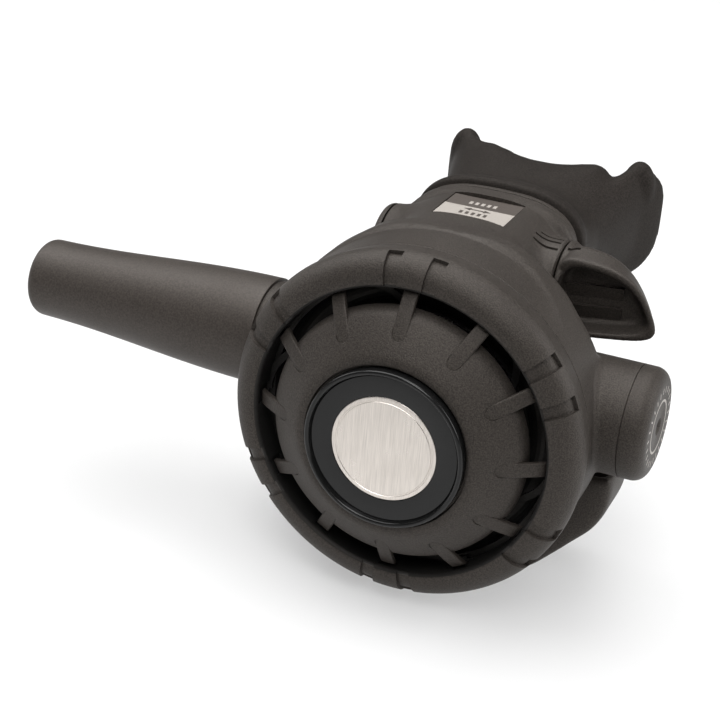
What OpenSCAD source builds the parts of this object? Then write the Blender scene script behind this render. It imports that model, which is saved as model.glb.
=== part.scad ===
/* [Cover] */
// Largest radius of the cover ring
cover_r = 42.6; // [40:0.1:46]
// Width of the cover ring from its mouth to its largest radius
ring_w = 7.4; // [6.8:0.1:8]
// Rounding between the mouth and the crest of the lip
lip_round = 1.2; // [0.8:0.1:1.6]
// Depth of the lip behind the badge face
lip_depth = 8; // [7:0.1:9]
// Length of the case spigot that the ring screws over
thread_len = 2.1; // [1.5:0.1:4]
// How far the ring tapers in towards its rear edge
ring_taper = 0.8; // [0:0.1:1.5]
// Pairs of grip notches around the ring
notch_pairs = 6; // [4:1:8]
// Angle between the two notches of a pair
notch_spread = 14.2; // [11:0.1:18]
// Width of a grip notch
notch_w = 3.6; // [2:0.1:5]
// Depth of a grip notch
notch_deep = 0.9; // [0.4:0.1:1.4]
// Distance of the cover axis below the barrel axis
cover_drop = 4; // [3:0.1:5]
// Distance of the badge face in front of the barrel axis
front_reach = 36; // [35.5:0.1:40]

/* [Purge button] */
// Gap between the button and the mouth of the ring
button_gap = 4.4; // [3.4:0.1:6]
// Radius of the sphere that the dome is part of
dome_r = 45; // [42:0.5:50]
// Wall of the dome
dome_wall = 2; // [1.5:0.1:2.6]
// Depth at which the dome begins beside the badge
dome_start = 0.4; // [0.2:0.1:0.8]
// Length of the skirt below the dome
skirt_len = 2.4; // [1.5:0.1:3]
// Number of ribs that run from the dome to the ring
rib_count = 12; // [6:2:16]
// Width of a rib
rib_w = 3.5; // [2.5:0.1:4.5]
// Thickness of a rib along the cover axis
rib_t = 1.9; // [1.2:0.1:2.2]
// How far a rib runs up the dome until it is flush
rib_lap = 5.8; // [4:0.1:7.5]
// Radius of the sphere that the rib tops lie on
rib_sphere_r = 57; // [52:0.5:64]
// Radius of the stem that pushes the diaphragm
stem_r = 6; // [4:0.1:7]
// Bore of the stem
stem_bore_r = 3.6; // [2:0.1:3.8]
// Travel of the button
purge_travel = 3; // [1.5:0.1:3.2]

/* [Badge] */
// Outer radius of the badge bezel
bezel_r = 19.1; // [17:0.1:19.4]
// Width of the rounded bezel
bezel_w = 1.2; // [0.8:0.1:2]
// Radius of the round badge disc
disc_r = 12.6; // [9:0.1:15]
// Thickness of the badge disc
disc_t = 0.6; // [0.3:0.1:1]
// Thickness of the badge body
badge_t = 2.4; // [1.8:0.1:2.8]

/* [Diaphragm] */
// Thickness of the guard behind the button
guard_t = 1; // [0.8:0.1:1.4]
// Number of curved guard spokes
spoke_count = 6; // [4:1:9]
// Width of a guard spoke
spoke_w = 1.6; // [1.2:0.1:2.5]
// Thickness of the clamped rim of the diaphragm
bead_t = 1.4; // [1:0.1:2]
// Thickness of the diaphragm sheet
sheet_t = 0.8; // [0.5:0.1:1]
// Width of the soft ring around the stiff plate
plate_margin = 7.8; // [7:0.1:11]
// Thickness of the stiff plate
plate_t = 1.2; // [0.8:0.1:1.6]

/* [Case] */
// Step from the cover ring down to the case rim
rim_step = 0.9; // [0.3:0.1:1.5]
// Length of the case rim behind the ring
rim_len = 13.3; // [12:0.1:15]
// Depth of the case from the end of its rim to its back wall
back_len = 5; // [4:0.1:7]
// Rounding of the case behind its rim
back_round = 4.4; // [3:0.1:4.8]
// Wall of the case
case_wall = 2.6; // [2:0.1:3.2]
// Radius of the two barrel bosses
boss_r = 13.4; // [12.8:0.1:14.5]
// How far the hose side boss stands out of the case rim
boss_left_out = 0.5; // [0.3:0.1:3]
// How far the cap side boss stands out of the case rim
boss_right_out = 5.1; // [3:0.1:8]

/* [Neck] */
// Height of the mouth axis above the barrel axis
neck_rise = 23; // [22:0.1:24]
// Half width of the neck
neck_a = 22; // [21:0.1:23]
// Half height of the neck
neck_b = 14.8; // [14.2:0.1:15.6]
// Half width of the neck between its ends
neck_waist = 18.8; // [18.4:0.1:20]
// Length of the neck behind the case
neck_len = 25.9; // [25:0.1:28]
// Half width of the air way
air_a = 16.8; // [15.8:0.1:17.4]
// Half height of the air way
air_b = 10.4; // [9:0.1:10.9]
// Wall of the spigot that holds the mouthpiece
spigot_wall = 2.4; // [1.8:0.1:2.8]
// Length of the spigot that holds the mouthpiece
spigot_len = 10; // [8.5:0.1:12]
// Width the neck gains on each side where it runs into the case
flare = 5; // [3:0.1:7]
// Width of the label window
window_w = 18; // [14:0.1:20]
// Length of the label window
window_len = 16; // [12:0.1:17]
// Height of the label window floor above the mouth axis
window_floor = 12.2; // [12:0.1:13]
// Thickness of the label plate
label_t = 0.5; // [0.3:0.1:0.8]

/* [Air lever] */
// Distance of the lever axis in front of the neck end
pivot_back = 11.6; // [11:0.1:12.2]
// Radius of the lever hub and of the boss it turns on
hub_r = 9.4; // [8.5:0.1:9.8]
// Radius of the lever shaft
shaft_r = 2.2; // [1.8:0.1:3]
// Length of the lever hub
hub_len = 4; // [3:0.1:5]
// Radius of the paddle outline
paddle_r = 18; // [15:0.1:19]
// Distance of the paddle centre from the cover axis
paddle_x = 28.3; // [27:0.1:30]
// Distance of the paddle centre below the lever axis
paddle_drop = 5.2; // [4:0.1:6]
// Thickness of the paddle
paddle_t = 10; // [8:0.1:10.5]
// Height of the paddle centre above its bottom edge at the hub
paddle_foot = 6.6; // [5.5:0.1:6.8]
// Depth of the thumb recess
thumb_deep = 6; // [3:0.1:7]
// Rim around the thumb recess
thumb_rim = 3; // [2:0.1:4]
// Grip steps across the thumb recess
step_count = 3; // [2:1:4]
// Half length of the air vane
vane_half = 7.5; // [5:0.1:8]
// Thickness of the air vane
vane_t = 1.4; // [1:0.1:2]

/* [Valve] */
// Outer radius of the inlet barrel
barrel_r = 9.4; // [9:0.1:9.8]
// Bore of the inlet barrel
barrel_bore_r = 6.6; // [6.2:0.1:7]
// Radius of the threaded end of the barrel
inlet_thread_r = 7.1; // [6.8:0.05:7.6]
// Length of the threaded end of the barrel
inlet_thread_len = 12; // [9:0.1:14]
// Length of the orifice piece
orifice_len = 8; // [6:0.1:9]
// Bore of the orifice
orifice_bore_r = 2; // [1.5:0.1:2.2]
// Length of the poppet head
poppet_head = 7; // [5:0.1:8]
// Radius of the poppet stem
poppet_stem_r = 2; // [1.5:0.1:2.2]
// Radius of the rubber seat in the poppet
seat_r = 4.4; // [3.6:0.1:5]
// Wire thickness of the poppet spring
poppet_wire = 0.9; // [0.6:0.1:1.1]
// Turns of the poppet spring
poppet_turns = 9; // [6:1:11]
// Wire thickness of the purge spring
purge_wire = 0.8; // [0.5:0.1:1]
// Turns of the purge spring
purge_turns = 4; // [3:1:5]
// Thickness of the demand lever
lever_t = 1.4; // [1:0.1:1.6]
// Width of the demand lever
lever_w = 9.6; // [9:0.1:10]
// Distance of the lever pivot from the cover axis
lever_x = 18; // [16:0.1:20]
// Height of the lever pivot in front of the barrel axis
lever_pivot_y = 7.5; // [6.8:0.1:8]
// Reach of the demand lever along the barrel
lever_reach = 20; // [17:0.1:22]

/* [Hose sleeve] */
// Length of the hose sleeve
sleeve_len = 66; // [55:0.5:80]
// Radius of the sleeve where the hose enters
sleeve_small_r = 10; // [9.5:0.1:11]
// Radius of the sleeve at the case end
sleeve_big_r = 13.5; // [12.8:0.1:14.5]
// Radius of the hose bore
hose_bore_r = 6.5; // [5:0.05:7]
// Length of the hose bore
hose_bore_len = 46; // [36:0.5:52]
// Rounding at the hose end of the sleeve
sleeve_round = 2.5; // [1.5:0.1:3]
// Width of the collar between the sleeve and the case
collar_w = 2.8; // [2:0.1:6]
// Radius of the nut shoulder inside the sleeve
shoulder_r = 9.3; // [8.6:0.1:10]

/* [End cap] */
// Length of the end cap
cap_len = 6; // [5:0.1:8]
// Rounding of the end cap
cap_round = 3.4; // [2:0.1:4.5]
// Radius of the hole in the end cap
cap_hole_r = 1.5; // [1:0.1:2.5]

/* [Mouthpiece] */
// Wall of the mouthpiece collar
collar_wall = 3.2; // [2.6:0.1:3.8]
// Half width of the lip flange
flange_a = 30.5; // [28:0.1:33]
// Height of the lip flange above its middle
flange_b = 15.5; // [14:0.1:17]
// Height of the lip flange below its middle
flange_low = 21; // [15:0.1:22]
// Depth of the middle of the lip flange behind the neck end
flange_depth = 34.6; // [30:0.1:38]
// How far the ends of the flange bend back
flange_bend = 17; // [8:0.5:20]
// Thickness of the flange edge
flange_t = 2.2; // [1.6:0.1:3]
// Half width of the waist between collar and flange
waist_a = 19; // [17.5:0.1:20.5]
// Half height of the waist between collar and flange
waist_b = 12; // [10:0.1:13]
// Half width of the mouth bore
mouth_a = 14.5; // [12:0.1:15.5]
// Half height of the mouth bore
mouth_b = 7.6; // [6:0.1:8.2]
// Reach of a bite tab behind the middle of the flange
tab_len = 25; // [21:0.1:28]
// Thickness of a bite tab
tab_t = 5; // [4:0.1:6]
// Width of a bite tab
tab_w = 11; // [9:0.1:13]
// Width of the tie around the collar
tie_w = 2.6; // [2:0.1:3.4]
// Thickness of the tie
tie_t = 1; // [0.7:0.1:1.4]

/* [Exhaust] */
// Radius of the exhaust valve
exhaust_r = 12; // [10:0.1:13]
// Distance of the exhaust valve below the cover axis
exhaust_drop = 13.5; // [13:0.1:15]
// Thickness of the exhaust valve
exhaust_t = 1.2; // [0.8:0.1:1.6]
// Distance of the tee front behind the case
tee_gap = 0.7; // [0.4:0.1:1.5]
// Length of the tee front to back
tee_len = 22; // [21:0.1:25]
// Wall of the tee
tee_wall = 2; // [1.5:0.1:2.5]
// Half width of the tee across its wings
tee_half = 43.6; // [42:0.1:46]
// Bottom of the tee below the cover axis
tee_bottom = 45.5; // [44:0.1:48]
// How far the back edge of the tee is drawn in
tee_chamfer = 5; // [2:0.5:7]
// Rounding of the tee wings
wing_r = 19; // [16:0.1:21]
// Rounding of the lower tee corners
tee_corner_r = 11; // [8:0.1:13]
// Top of the tee wings below the cover axis
wing_top = 14.2; // [14:0.1:16]

/* [Fits] */
// Clearance between pieces that move past each other
move_gap = 0.3; // [0.2:0.05:0.5]
// Radial clearance of a shaft in its bore
run_gap = 0.06; // [0.02:0.01:0.1]
// Clearance between pieces that are assembled and stay
seat_gap = 0.05; // [0.02:0.01:0.1]

/* [Hidden] */
$fn = 96;
plastic = "#3d3a37";
dark_plastic = "#242322";
rubber = "#2b2927";
metal = "#b9b6b0";
brass = "#b49a5a";
// How far a cutting body runs past what it cuts
cut = 1;

// Radii that follow the cover
mouth_r = cover_r - ring_w;
button_r = mouth_r - button_gap;
rib_start_r = button_r - rib_lap;
plate_r = mouth_r - plate_margin;
rim_r = cover_r - rim_step;
// Places along the barrel; the hose mouth is the origin
boss_left = rim_r + boss_left_out;
boss_right = rim_r + boss_right_out;
cover_x = sleeve_len + collar_w + boss_left;
collar_left = -boss_left - collar_w;
// The dome and rib spheres share the cover axis
badge_ledge = 0.7;
badge_seat_r = bezel_r + badge_ledge;
dome_centre = dome_start + sqrt(dome_r * dome_r - badge_seat_r * badge_seat_r);
dome_edge_depth = dome_depth(button_r);
rib_end_r = mouth_r - move_gap - seat_gap;
rib_centre = dome_depth(rib_start_r) + sqrt(rib_sphere_r * rib_sphere_r - rib_start_r * rib_start_r);
rib_end_depth = rib_centre - sqrt(rib_sphere_r * rib_sphere_r - rib_end_r * rib_end_r) + rib_t;
// Depths behind the badge face; the pressed ribs stop short of the guard
badge_face = 0.6;
clamp_depth = rib_end_depth + purge_travel + move_gap;
bead_depth = clamp_depth + guard_t;
spigot_depth = bead_depth + bead_t;
ring_end = spigot_depth + thread_len;
rim_end = ring_end + rim_len;
back_depth = rim_end + back_len;
plate_depth = bead_depth + sheet_t;
neck_depth = back_depth + neck_len;
pivot_depth = neck_depth - pivot_back;
tee_front = back_depth + tee_gap;
// Radii of the clamped stack
lip_r = mouth_r + lip_round;
thread_wall = 2.2;
stack_play = 0.2;
spigot_r = lip_r + thread_wall;
stack_r = spigot_r - stack_play;
stack_inner_r = mouth_r + stack_play;
chamber_r = mouth_r + move_gap;
floor_back = badge_t + dome_wall;
stem_end = plate_depth - move_gap;
// Neck and mouthpiece sizes
spigot_a = air_a + spigot_wall;
spigot_b = air_b + spigot_wall;
collar_a = spigot_a + seat_gap + collar_wall;
collar_b = spigot_b + seat_gap + collar_wall;
collar_lap = 1.5;
collar_len = spigot_len + collar_lap;
// The flare ends in front of the lever hub, and the neck widens again before its end
hub_clear = 0.8;
flare_depth = pivot_depth - hub_r - hub_clear;
flare_rings = 6;
end_band = 2;
end_flare = 3;
hub_face = neck_a;
window_shift = 0.9;
window_depth = pivot_depth - window_len / 2 - window_shift;
// Valve places along the barrel, measured from the cover axis
inlet_wall = 2;
orifice_tip = orifice_len - boss_left + inlet_wall;
seal_gap = 0.1;
poppet_front = orifice_tip + seal_gap;
poppet_back = poppet_front + poppet_head;
lever_foot = 2.4;
lever_knee = 2.6;
lever_foot_x = lever_x + lever_foot / 2;
washer_x = lever_foot_x + move_gap;
washer_t = 1;
nut_x = washer_x + washer_t;
nut_len = 3.4;
thread_end = 0.8;
stem_tip = nut_x + nut_len + thread_end;
spring_wall_t = 3;
lever_window = 12;
window_web = 1;
spring_wall = lever_x - lever_window / 2 - spring_wall_t - window_web;
barrel_tail = 8;
barrel_end = lever_x + lever_window / 2 + barrel_tail;
cone_len = 2.5;
orifice_body = orifice_len - cone_len;
seat_t = 2;
o_ring_wire = 0.9;
shaft_ring_wire = 0.5;
shaft_ring_x = (neck_a + air_a) / 2;
// The exhaust seat stands clear of the barrel boss
exhaust_clear = 0.6;
cap_spigot = 1.6;
exhaust_seat = front_reach + boss_r + exhaust_clear;
valve_stem_r = 1.4;
tee_back = tee_front + tee_len;
// The tie lies in a groove between the neck end and the collar's ridge
tie_start = 0.4;
tie_sink = 1.4;
tie_a = collar_a - tie_sink;
tie_b = collar_b - tie_sink;
// Points around the mouthpiece, points per spring turn and sides of the spring wire
mouth_sides = 72;
curl_rings = 12;
wire_sides = 6;
// Demand lever tip height in front of the barrel axis
lever_tip_y = front_reach - plate_depth - plate_t - move_gap;

function arc(cx, cy, r, from, to, n = 10) =
    [for (i = [0:n]) let (a = from + (to - from) * i / n) [cx + r * cos(a), cy + r * sin(a)]];
function oval(a, b, n = 72) = [for (i = [0:n - 1]) [a * cos(360 * i / n), b * sin(360 * i / n)]];
function dome_depth(r) = dome_centre - sqrt(dome_r * dome_r - r * r);

// Local z is the depth behind the badge face, on the cover axis
module on_cover() {
    translate([cover_x, -front_reach, -cover_drop]) rotate([-90, 0, 0]) children();
}

// Local z is the depth behind the badge face, on the mouth axis
module on_neck() {
    translate([cover_x, -front_reach, neck_rise]) rotate([-90, 0, 0]) children();
}

// Local z is the distance from the cover axis along the barrel
module on_barrel() {
    translate([cover_x, 0, 0]) rotate([0, 90, 0]) children();
}

// Local z runs along the axis of the air lever from the middle of the neck
module on_pivot() {
    translate([cover_x, pivot_depth - front_reach, neck_rise]) rotate([0, 90, 0]) children();
}

module oval_bar(a, b, from, to) {
    translate([0, 0, from]) linear_extrude(to - from) polygon(oval(a, b));
}

module ring_at(z, r, wire) {
    translate([0, 0, z]) rotate_extrude() translate([r, 0]) circle(wire, $fn = 24);
}

// One unbroken helical tube that stands on the plane z = 0
function coil_path(r, wire, turns, len) =
    let (n = turns * curl_rings)
    [for (i = [0:n]) [r * cos(360 * i / curl_rings), r * sin(360 * i / curl_rings),
                      wire / 2 + (len - wire) * i / n]];
function coil_gap(path, wire) =
    min([for (i = [0:len(path) - curl_rings - 1]) norm(path[i + curl_rings] - path[i])]) - wire;
function coil_points(path, wire) = [
    for (i = [0:len(path) - 1]) for (j = [0:wire_sides - 1])
        let (turn = 360 * i / curl_rings, side = 360 * j / wire_sides,
             out = wire / 2 * cos(side), up = wire / 2 * sin(side))
        path[i] + [out * cos(turn), out * sin(turn), up]
];
function tube_faces(rings, sides) = concat(
    [for (i = [0:rings - 2]) for (j = [0:sides - 1])
        each let (a = i * sides + j, b = i * sides + (j + 1) % sides) [
            [a, b, a + sides],
            [b, b + sides, a + sides]
        ]],
    [for (j = [1:sides - 2]) [0, j + 1, j]],
    [for (j = [1:sides - 2]) let (k = (rings - 1) * sides) [k, k + j, k + j + 1]]
);

module coil_spring(r, wire, turns, len) {
    path = coil_path(r, wire, turns, len);
    echo(str("least gap of the spring coils, mm: ", coil_gap(path, wire)));
    polyhedron(coil_points(path, wire), tube_faces(len(path), wire_sides), convexity = 10);
}

// Outline of the cover ring in radius and depth
function ring_profile() = concat(
    [[mouth_r, clamp_depth]],
    arc(lip_r, lip_depth + lip_round, lip_round, 180, 270, 5),
    arc(lip_r, lip_depth + cover_r - lip_r, cover_r - lip_r, -88, 0),
    [[cover_r - ring_taper, ring_end],
     [spigot_r + seat_gap, ring_end],
     [spigot_r + seat_gap, clamp_depth]]
);

// Band under the ring face that a grip notch takes away, from the lip to near the side
function notch_profile() =
    let (r = cover_r - lip_r, z = lip_depth + r, at_lip = -96, at_side = -12) concat(
    arc(lip_r, z, r - notch_deep, at_lip, at_side, 8),
    arc(lip_r, z, r + cut, at_side, at_lip, 8)
);

module cover_ring() {
    notch_angle = notch_w / cover_r * 180 / PI;
    pocket_top = lip_depth + lip_round + stack_play;
    pocket_deep = 0.6;
    first_pair = 30;
    color(plastic) on_cover() difference() {
        rotate_extrude() polygon(ring_profile());
        for (i = [0:notch_pairs - 1])
            for (side = [-0.5, 0.5])
                rotate(first_pair + 360 * i / notch_pairs + side * notch_spread - notch_angle / 2)
                    rotate_extrude(angle = notch_angle) polygon(notch_profile());
        for (i = [0:rib_count - 1])
            rotate(360 * i / rib_count)
                translate([mouth_r - pocket_deep, -rib_w / 2 - move_gap, pocket_top])
                    cube([2 * pocket_deep, rib_w + 2 * move_gap, clamp_depth - lip_depth]);
    }
}

module inner_guard() {
    hub_w = 3.2;
    hub_out = stem_r + hub_w;
    mid_r = (hub_out + stack_inner_r) / 2;
    bow_r = (stack_inner_r - hub_out) / 2 + spoke_w / 2;
    color(dark_plastic) on_cover() translate([0, 0, clamp_depth]) difference() {
        linear_extrude(guard_t) union() {
            difference() {
                circle(stack_r);
                circle(stack_inner_r);
            }
            circle(hub_out);
            for (i = [0:spoke_count - 1])
                rotate(360 * i / spoke_count) intersection() {
                    translate([mid_r, 0]) difference() {
                        circle(bow_r);
                        circle(bow_r - spoke_w);
                    }
                    square([stack_r, stack_r]);
                }
        }
        translate([0, 0, -cut]) cylinder(r = stem_r + run_gap, h = guard_t + 2 * cut);
    }
}

module diaphragm() {
    roll_out = stack_inner_r - 2 * stack_play;
    roll_in = plate_r + move_gap;
    roll_r = (roll_out - roll_in) / 2;
    roll_c = (roll_out + roll_in) / 2;
    color(rubber) on_cover() rotate_extrude() polygon(concat(
        [[stack_r, bead_depth], [stack_r, spigot_depth], [roll_out, spigot_depth]],
        arc(roll_c, spigot_depth, roll_r, 0, 180, 10),
        arc(roll_c, spigot_depth, roll_r - sheet_t, 180, 0, 10),
        [[roll_out - sheet_t, bead_depth]]
    ));
}

module diaphragm_plate() {
    dish = plate_t / 4;
    slope = 1;
    rim = 1.5;
    color(metal) on_cover() translate([0, 0, plate_depth]) rotate_extrude() polygon([
        [0, 0], [stem_r + slope, 0], [stem_r + 2 * slope, dish], [plate_r - rim - slope, dish],
        [plate_r - rim, 0], [plate_r, 0], [plate_r, plate_t], [0, plate_t]
    ]);
}

// Outline of the button shell, floor and stem in radius and depth
function button_profile() =
    let (inner_r = dome_r - dome_wall,
         edge = 1.2,
         ease = edge / 4,
         skirt_end = dome_edge_depth + skirt_len,
         inner_edge = button_r - dome_wall,
         floor_r = sqrt(inner_r * inner_r - pow(dome_centre - floor_back, 2)),
         from = asin(badge_seat_r / dome_r),
         to = asin((button_r - edge) / dome_r),
         in_to = asin(inner_edge / inner_r),
         in_from = asin(floor_r / inner_r))
    concat(
        [[0, badge_t], [badge_seat_r, badge_t]],
        arc(0, dome_centre, dome_r, from - 90, to - 90, 12),
        [[button_r - ease, dome_edge_depth - ease], [button_r, dome_edge_depth + 2 * ease],
         [button_r, skirt_end], [inner_edge, skirt_end]],
        arc(0, dome_centre, inner_r, in_to - 90, in_from - 90, 8),
        [[stem_r, floor_back], [stem_r, stem_end], [stem_bore_r, stem_end],
         [stem_bore_r, floor_back], [0, floor_back]]
    );

module purge_button() {
    top = asin(rib_start_r / rib_sphere_r);
    reach = asin(rib_end_r / rib_sphere_r);
    color(plastic) on_cover() union() {
        rotate_extrude() polygon(button_profile());
        intersection() {
            rotate_extrude() polygon(concat(
                arc(0, rib_centre, rib_sphere_r, top - 90, reach - 90, 8),
                [[rib_end_r, rib_end_depth]],
                arc(0, rib_centre + rib_t, rib_sphere_r, reach - 90, top - 90, 8)
            ));
            for (i = [0:rib_count / 2 - 1])
                rotate(360 * i / rib_count)
                    translate([-cover_r, -rib_w / 2, 0])
                        cube([2 * cover_r, rib_w, clamp_depth]);
        }
    }
}

module badge_bezel() {
    color(dark_plastic) on_cover() difference() {
        rotate_extrude() polygon(concat(
            [[0, badge_t], [0, badge_face], [bezel_r - bezel_w, badge_face]],
            arc(bezel_r - bezel_w / 2, badge_face / 6, bezel_w / 2, 180, 360, 8),
            [[bezel_r, badge_t]]
        ));
        cylinder(r = disc_r + seat_gap, h = badge_face + disc_t);
    }
}

// Plain disc with one shallow turned groove near its edge
module badge_disc() {
    margin = 0.9;
    groove_w = 0.4;
    groove_deep = disc_t / 6;
    color(metal) on_cover() translate([0, 0, badge_face]) rotate_extrude() polygon([
        [0, 0], [disc_r - margin - groove_w, 0], [disc_r - margin - groove_w, groove_deep],
        [disc_r - margin, groove_deep], [disc_r - margin, 0], [disc_r, 0], [disc_r, disc_t], [0, disc_t]
    ]);
}

module purge_spring() {
    coil_r = stem_r + 2 * purge_wire + seat_gap;
    room = clamp_depth - floor_back - 2 * seat_gap;
    color(metal) on_cover() translate([0, 0, floor_back + seat_gap])
        coil_spring(coil_r, purge_wire, purge_turns, room);
}

// Rings of the neck skin as half width, half height and depth
function neck_sections() = concat(
    [[neck_waist + flare, neck_b, rim_end - case_wall]],
    [for (i = [0:flare_rings])
        let (turn = 90 * i / flare_rings, root = back_depth - case_wall / 2)
        [neck_waist + flare * (1 - sin(turn)), neck_b, flare_depth - (flare_depth - root) * cos(turn)]],
    [[neck_waist, neck_b, neck_depth - end_band - end_flare],
     [neck_a, neck_b, neck_depth - end_band],
     [neck_a, neck_b, neck_depth]]
);

// The neck's skin runs in a smooth sweep out of the case and widens at the mouthpiece
module neck_outside() {
    sections = neck_sections();
    polyhedron([for (s = sections) for (p = oval(s[0], s[1])) [p[0], -p[1], s[2]]],
               tube_faces(len(sections), len(oval(1, 1))), convexity = 4);
    oval_bar(spigot_a, spigot_b, neck_depth - cut, neck_depth + spigot_len);
}

function case_outside() = concat(
    [[0, spigot_depth], [spigot_r, spigot_depth], [spigot_r, ring_end + seat_gap],
     [rim_r, ring_end + seat_gap]],
    arc(rim_r - back_round, back_depth - back_round, back_round, 0, 90, 8),
    [[0, back_depth]]
);

module case() {
    port = exhaust_r - 2;
    port_wall = 1.5;
    spoke = 2;
    inside = back_depth - case_wall;
    color(plastic) difference() {
        union() {
            on_cover() rotate_extrude() polygon(case_outside());
            on_barrel() translate([0, 0, -boss_left])
                cylinder(r = boss_r, h = boss_left + boss_right);
            on_neck() neck_outside();
            on_pivot() translate([0, 0, -hub_face]) cylinder(r = hub_r, h = 2 * hub_face);
            on_cover() translate([0, exhaust_drop, rim_end])
                cylinder(r = exhaust_r + port_wall, h = exhaust_seat - rim_end);
        }
        on_cover() translate([0, 0, spigot_depth - cut])
            cylinder(r = chamber_r, h = inside - spigot_depth + cut);
        on_barrel() translate([0, 0, -boss_left - cut])
            cylinder(r = barrel_r + seat_gap, h = boss_left + boss_right + 2 * cut);
        on_neck() oval_bar(air_a, air_b, inside - cut, neck_depth + spigot_len + cut);
        on_pivot() translate([0, 0, -hub_face - cut])
            cylinder(r = shaft_r + run_gap, h = 2 * hub_face + 2 * cut);
        on_neck() translate([-window_w / 2, -neck_b - cut, window_depth])
            cube([window_w, neck_b + cut - window_floor, window_len]);
        on_cover() translate([0, exhaust_drop, inside - cut]) difference() {
            cylinder(r = port, h = exhaust_seat - inside + 2 * cut);
            for (turn = [0, 90])
                rotate(turn) translate([-port, -spoke / 2, 0])
                    cube([2 * port, spoke, exhaust_seat - inside + cut]);
        }
        on_cover() translate([0, exhaust_drop, inside - 2 * cut])
            cylinder(r = valve_stem_r + seat_gap, h = exhaust_seat);
    }
}

module inlet_barrel() {
    slot_w = lever_w + 4 * move_gap;
    thread_wall_t = 2.9;
    color(brass) on_barrel() difference() {
        union() {
            translate([0, 0, -boss_left]) cylinder(r = barrel_r, h = boss_left + barrel_end);
            translate([0, 0, -boss_left - inlet_thread_len])
                cylinder(r = inlet_thread_r, h = inlet_thread_len + cut);
        }
        translate([0, 0, -boss_left - inlet_thread_len - cut])
            cylinder(r = inlet_thread_r - thread_wall_t, h = inlet_thread_len + inlet_wall + 2 * cut);
        translate([0, 0, -boss_left + inlet_wall])
            cylinder(r = barrel_bore_r, h = boss_left - inlet_wall + spring_wall);
        translate([0, 0, spring_wall - cut])
            cylinder(r = poppet_stem_r + run_gap, h = spring_wall_t + 2 * cut);
        translate([0, 0, spring_wall + spring_wall_t])
            cylinder(r = barrel_bore_r, h = barrel_end);
        translate([-slot_w / 2, -barrel_r - cut, lever_x - lever_window / 2])
            cube([slot_w, barrel_r - 2 * cut, lever_window]);
        for (z = o_ring_places()) ring_at(z, barrel_r, o_ring_wire + seat_gap);
    }
}

function o_ring_places() = [inlet_wall + cut - boss_left, barrel_end - 2 * o_ring_wire - seal_gap];

// Half rings that fill their grooves flush with the barrel
module barrel_o_rings() {
    color(rubber) on_barrel() for (z = o_ring_places()) intersection() {
        ring_at(z, barrel_r, o_ring_wire);
        translate([0, 0, z - 2 * o_ring_wire]) cylinder(r = barrel_r, h = 4 * o_ring_wire);
    }
}

module inlet_nut() {
    flange_step = 0.6;
    back = -boss_left - inlet_thread_len;
    color(metal) on_barrel() difference() {
        union() {
            translate([0, 0, collar_left + seat_gap])
                cylinder(r = boss_r - flange_step, h = collar_w - 2 * seat_gap);
            translate([0, 0, back]) cylinder(r = shoulder_r, h = inlet_thread_len - seat_gap);
        }
        translate([0, 0, back - cut])
            cylinder(r = inlet_thread_r + seat_gap, h = inlet_thread_len + 2 * cut);
    }
}

module orifice() {
    tip_w = 0.5;
    cone_w = 1.4;
    cone_r = orifice_bore_r + tip_w;
    color(brass) on_barrel() translate([0, 0, orifice_tip - orifice_len]) difference() {
        union() {
            cylinder(r = barrel_bore_r - seat_gap, h = orifice_body);
            translate([0, 0, orifice_body])
                cylinder(r1 = cone_r + cone_w, r2 = cone_r, h = orifice_len - orifice_body);
        }
        translate([0, 0, -cut]) cylinder(r = orifice_bore_r, h = orifice_len + 2 * cut);
        ring_at(orifice_body / 2, barrel_bore_r - seat_gap, o_ring_wire + seat_gap);
    }
}

module orifice_o_ring() {
    color(rubber) on_barrel() translate([0, 0, orifice_tip - orifice_len]) intersection() {
        ring_at(orifice_body / 2, barrel_bore_r - seat_gap, o_ring_wire);
        cylinder(r = barrel_bore_r - seat_gap, h = orifice_body);
    }
}

// The head has four flutes for the air and a pocket for the rubber seat
module poppet() {
    head_r = barrel_bore_r - run_gap;
    flutes = 4;
    flute_r = 1.9;
    flute_out = 0.4;
    color(dark_plastic) on_barrel() difference() {
        union() {
            translate([0, 0, poppet_front]) cylinder(r = head_r, h = poppet_head);
            translate([0, 0, poppet_front]) cylinder(r = poppet_stem_r, h = stem_tip - poppet_front);
        }
        translate([0, 0, poppet_front - cut]) cylinder(r = seat_r + seat_gap, h = seat_t + cut);
        for (i = [0:flutes - 1])
            rotate(180 / flutes + 360 * i / flutes)
                translate([barrel_bore_r + flute_out, 0, poppet_front - cut])
                    cylinder(r = flute_r, h = poppet_head + 2 * cut);
    }
}

module poppet_seat() {
    color(rubber) on_barrel() translate([0, 0, poppet_front]) cylinder(r = seat_r, h = seat_t);
}

module poppet_spring() {
    room = spring_wall - poppet_back - 2 * seat_gap;
    color(metal) on_barrel() translate([0, 0, poppet_back + seat_gap])
        coil_spring((barrel_bore_r + poppet_stem_r) / 2, poppet_wire, poppet_turns, room);
}

module lever_washer() {
    washer_clear = 1.2;
    color(metal) on_barrel() translate([0, 0, washer_x]) difference() {
        cylinder(r = barrel_bore_r - washer_clear, h = washer_t);
        translate([0, 0, -cut]) cylinder(r = poppet_stem_r + seat_gap, h = washer_t + 2 * cut);
    }
}

module lever_locknut() {
    nut_wall = 2.2;
    color(metal) on_barrel() translate([0, 0, nut_x]) difference() {
        cylinder(r = poppet_stem_r + nut_wall, h = nut_len, $fn = 6);
        translate([0, 0, -cut]) cylinder(r = poppet_stem_r + seat_gap, h = nut_len + 2 * cut);
    }
}

// Straight bar with round ends, in side view
module strut(from, to, w) {
    span = to - from;
    translate(from) rotate(atan2(span[1], span[0])) translate([0, -w / 2]) square([norm(span), w]);
    translate(from) circle(w / 2);
    translate(to) circle(w / 2);
}

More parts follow.
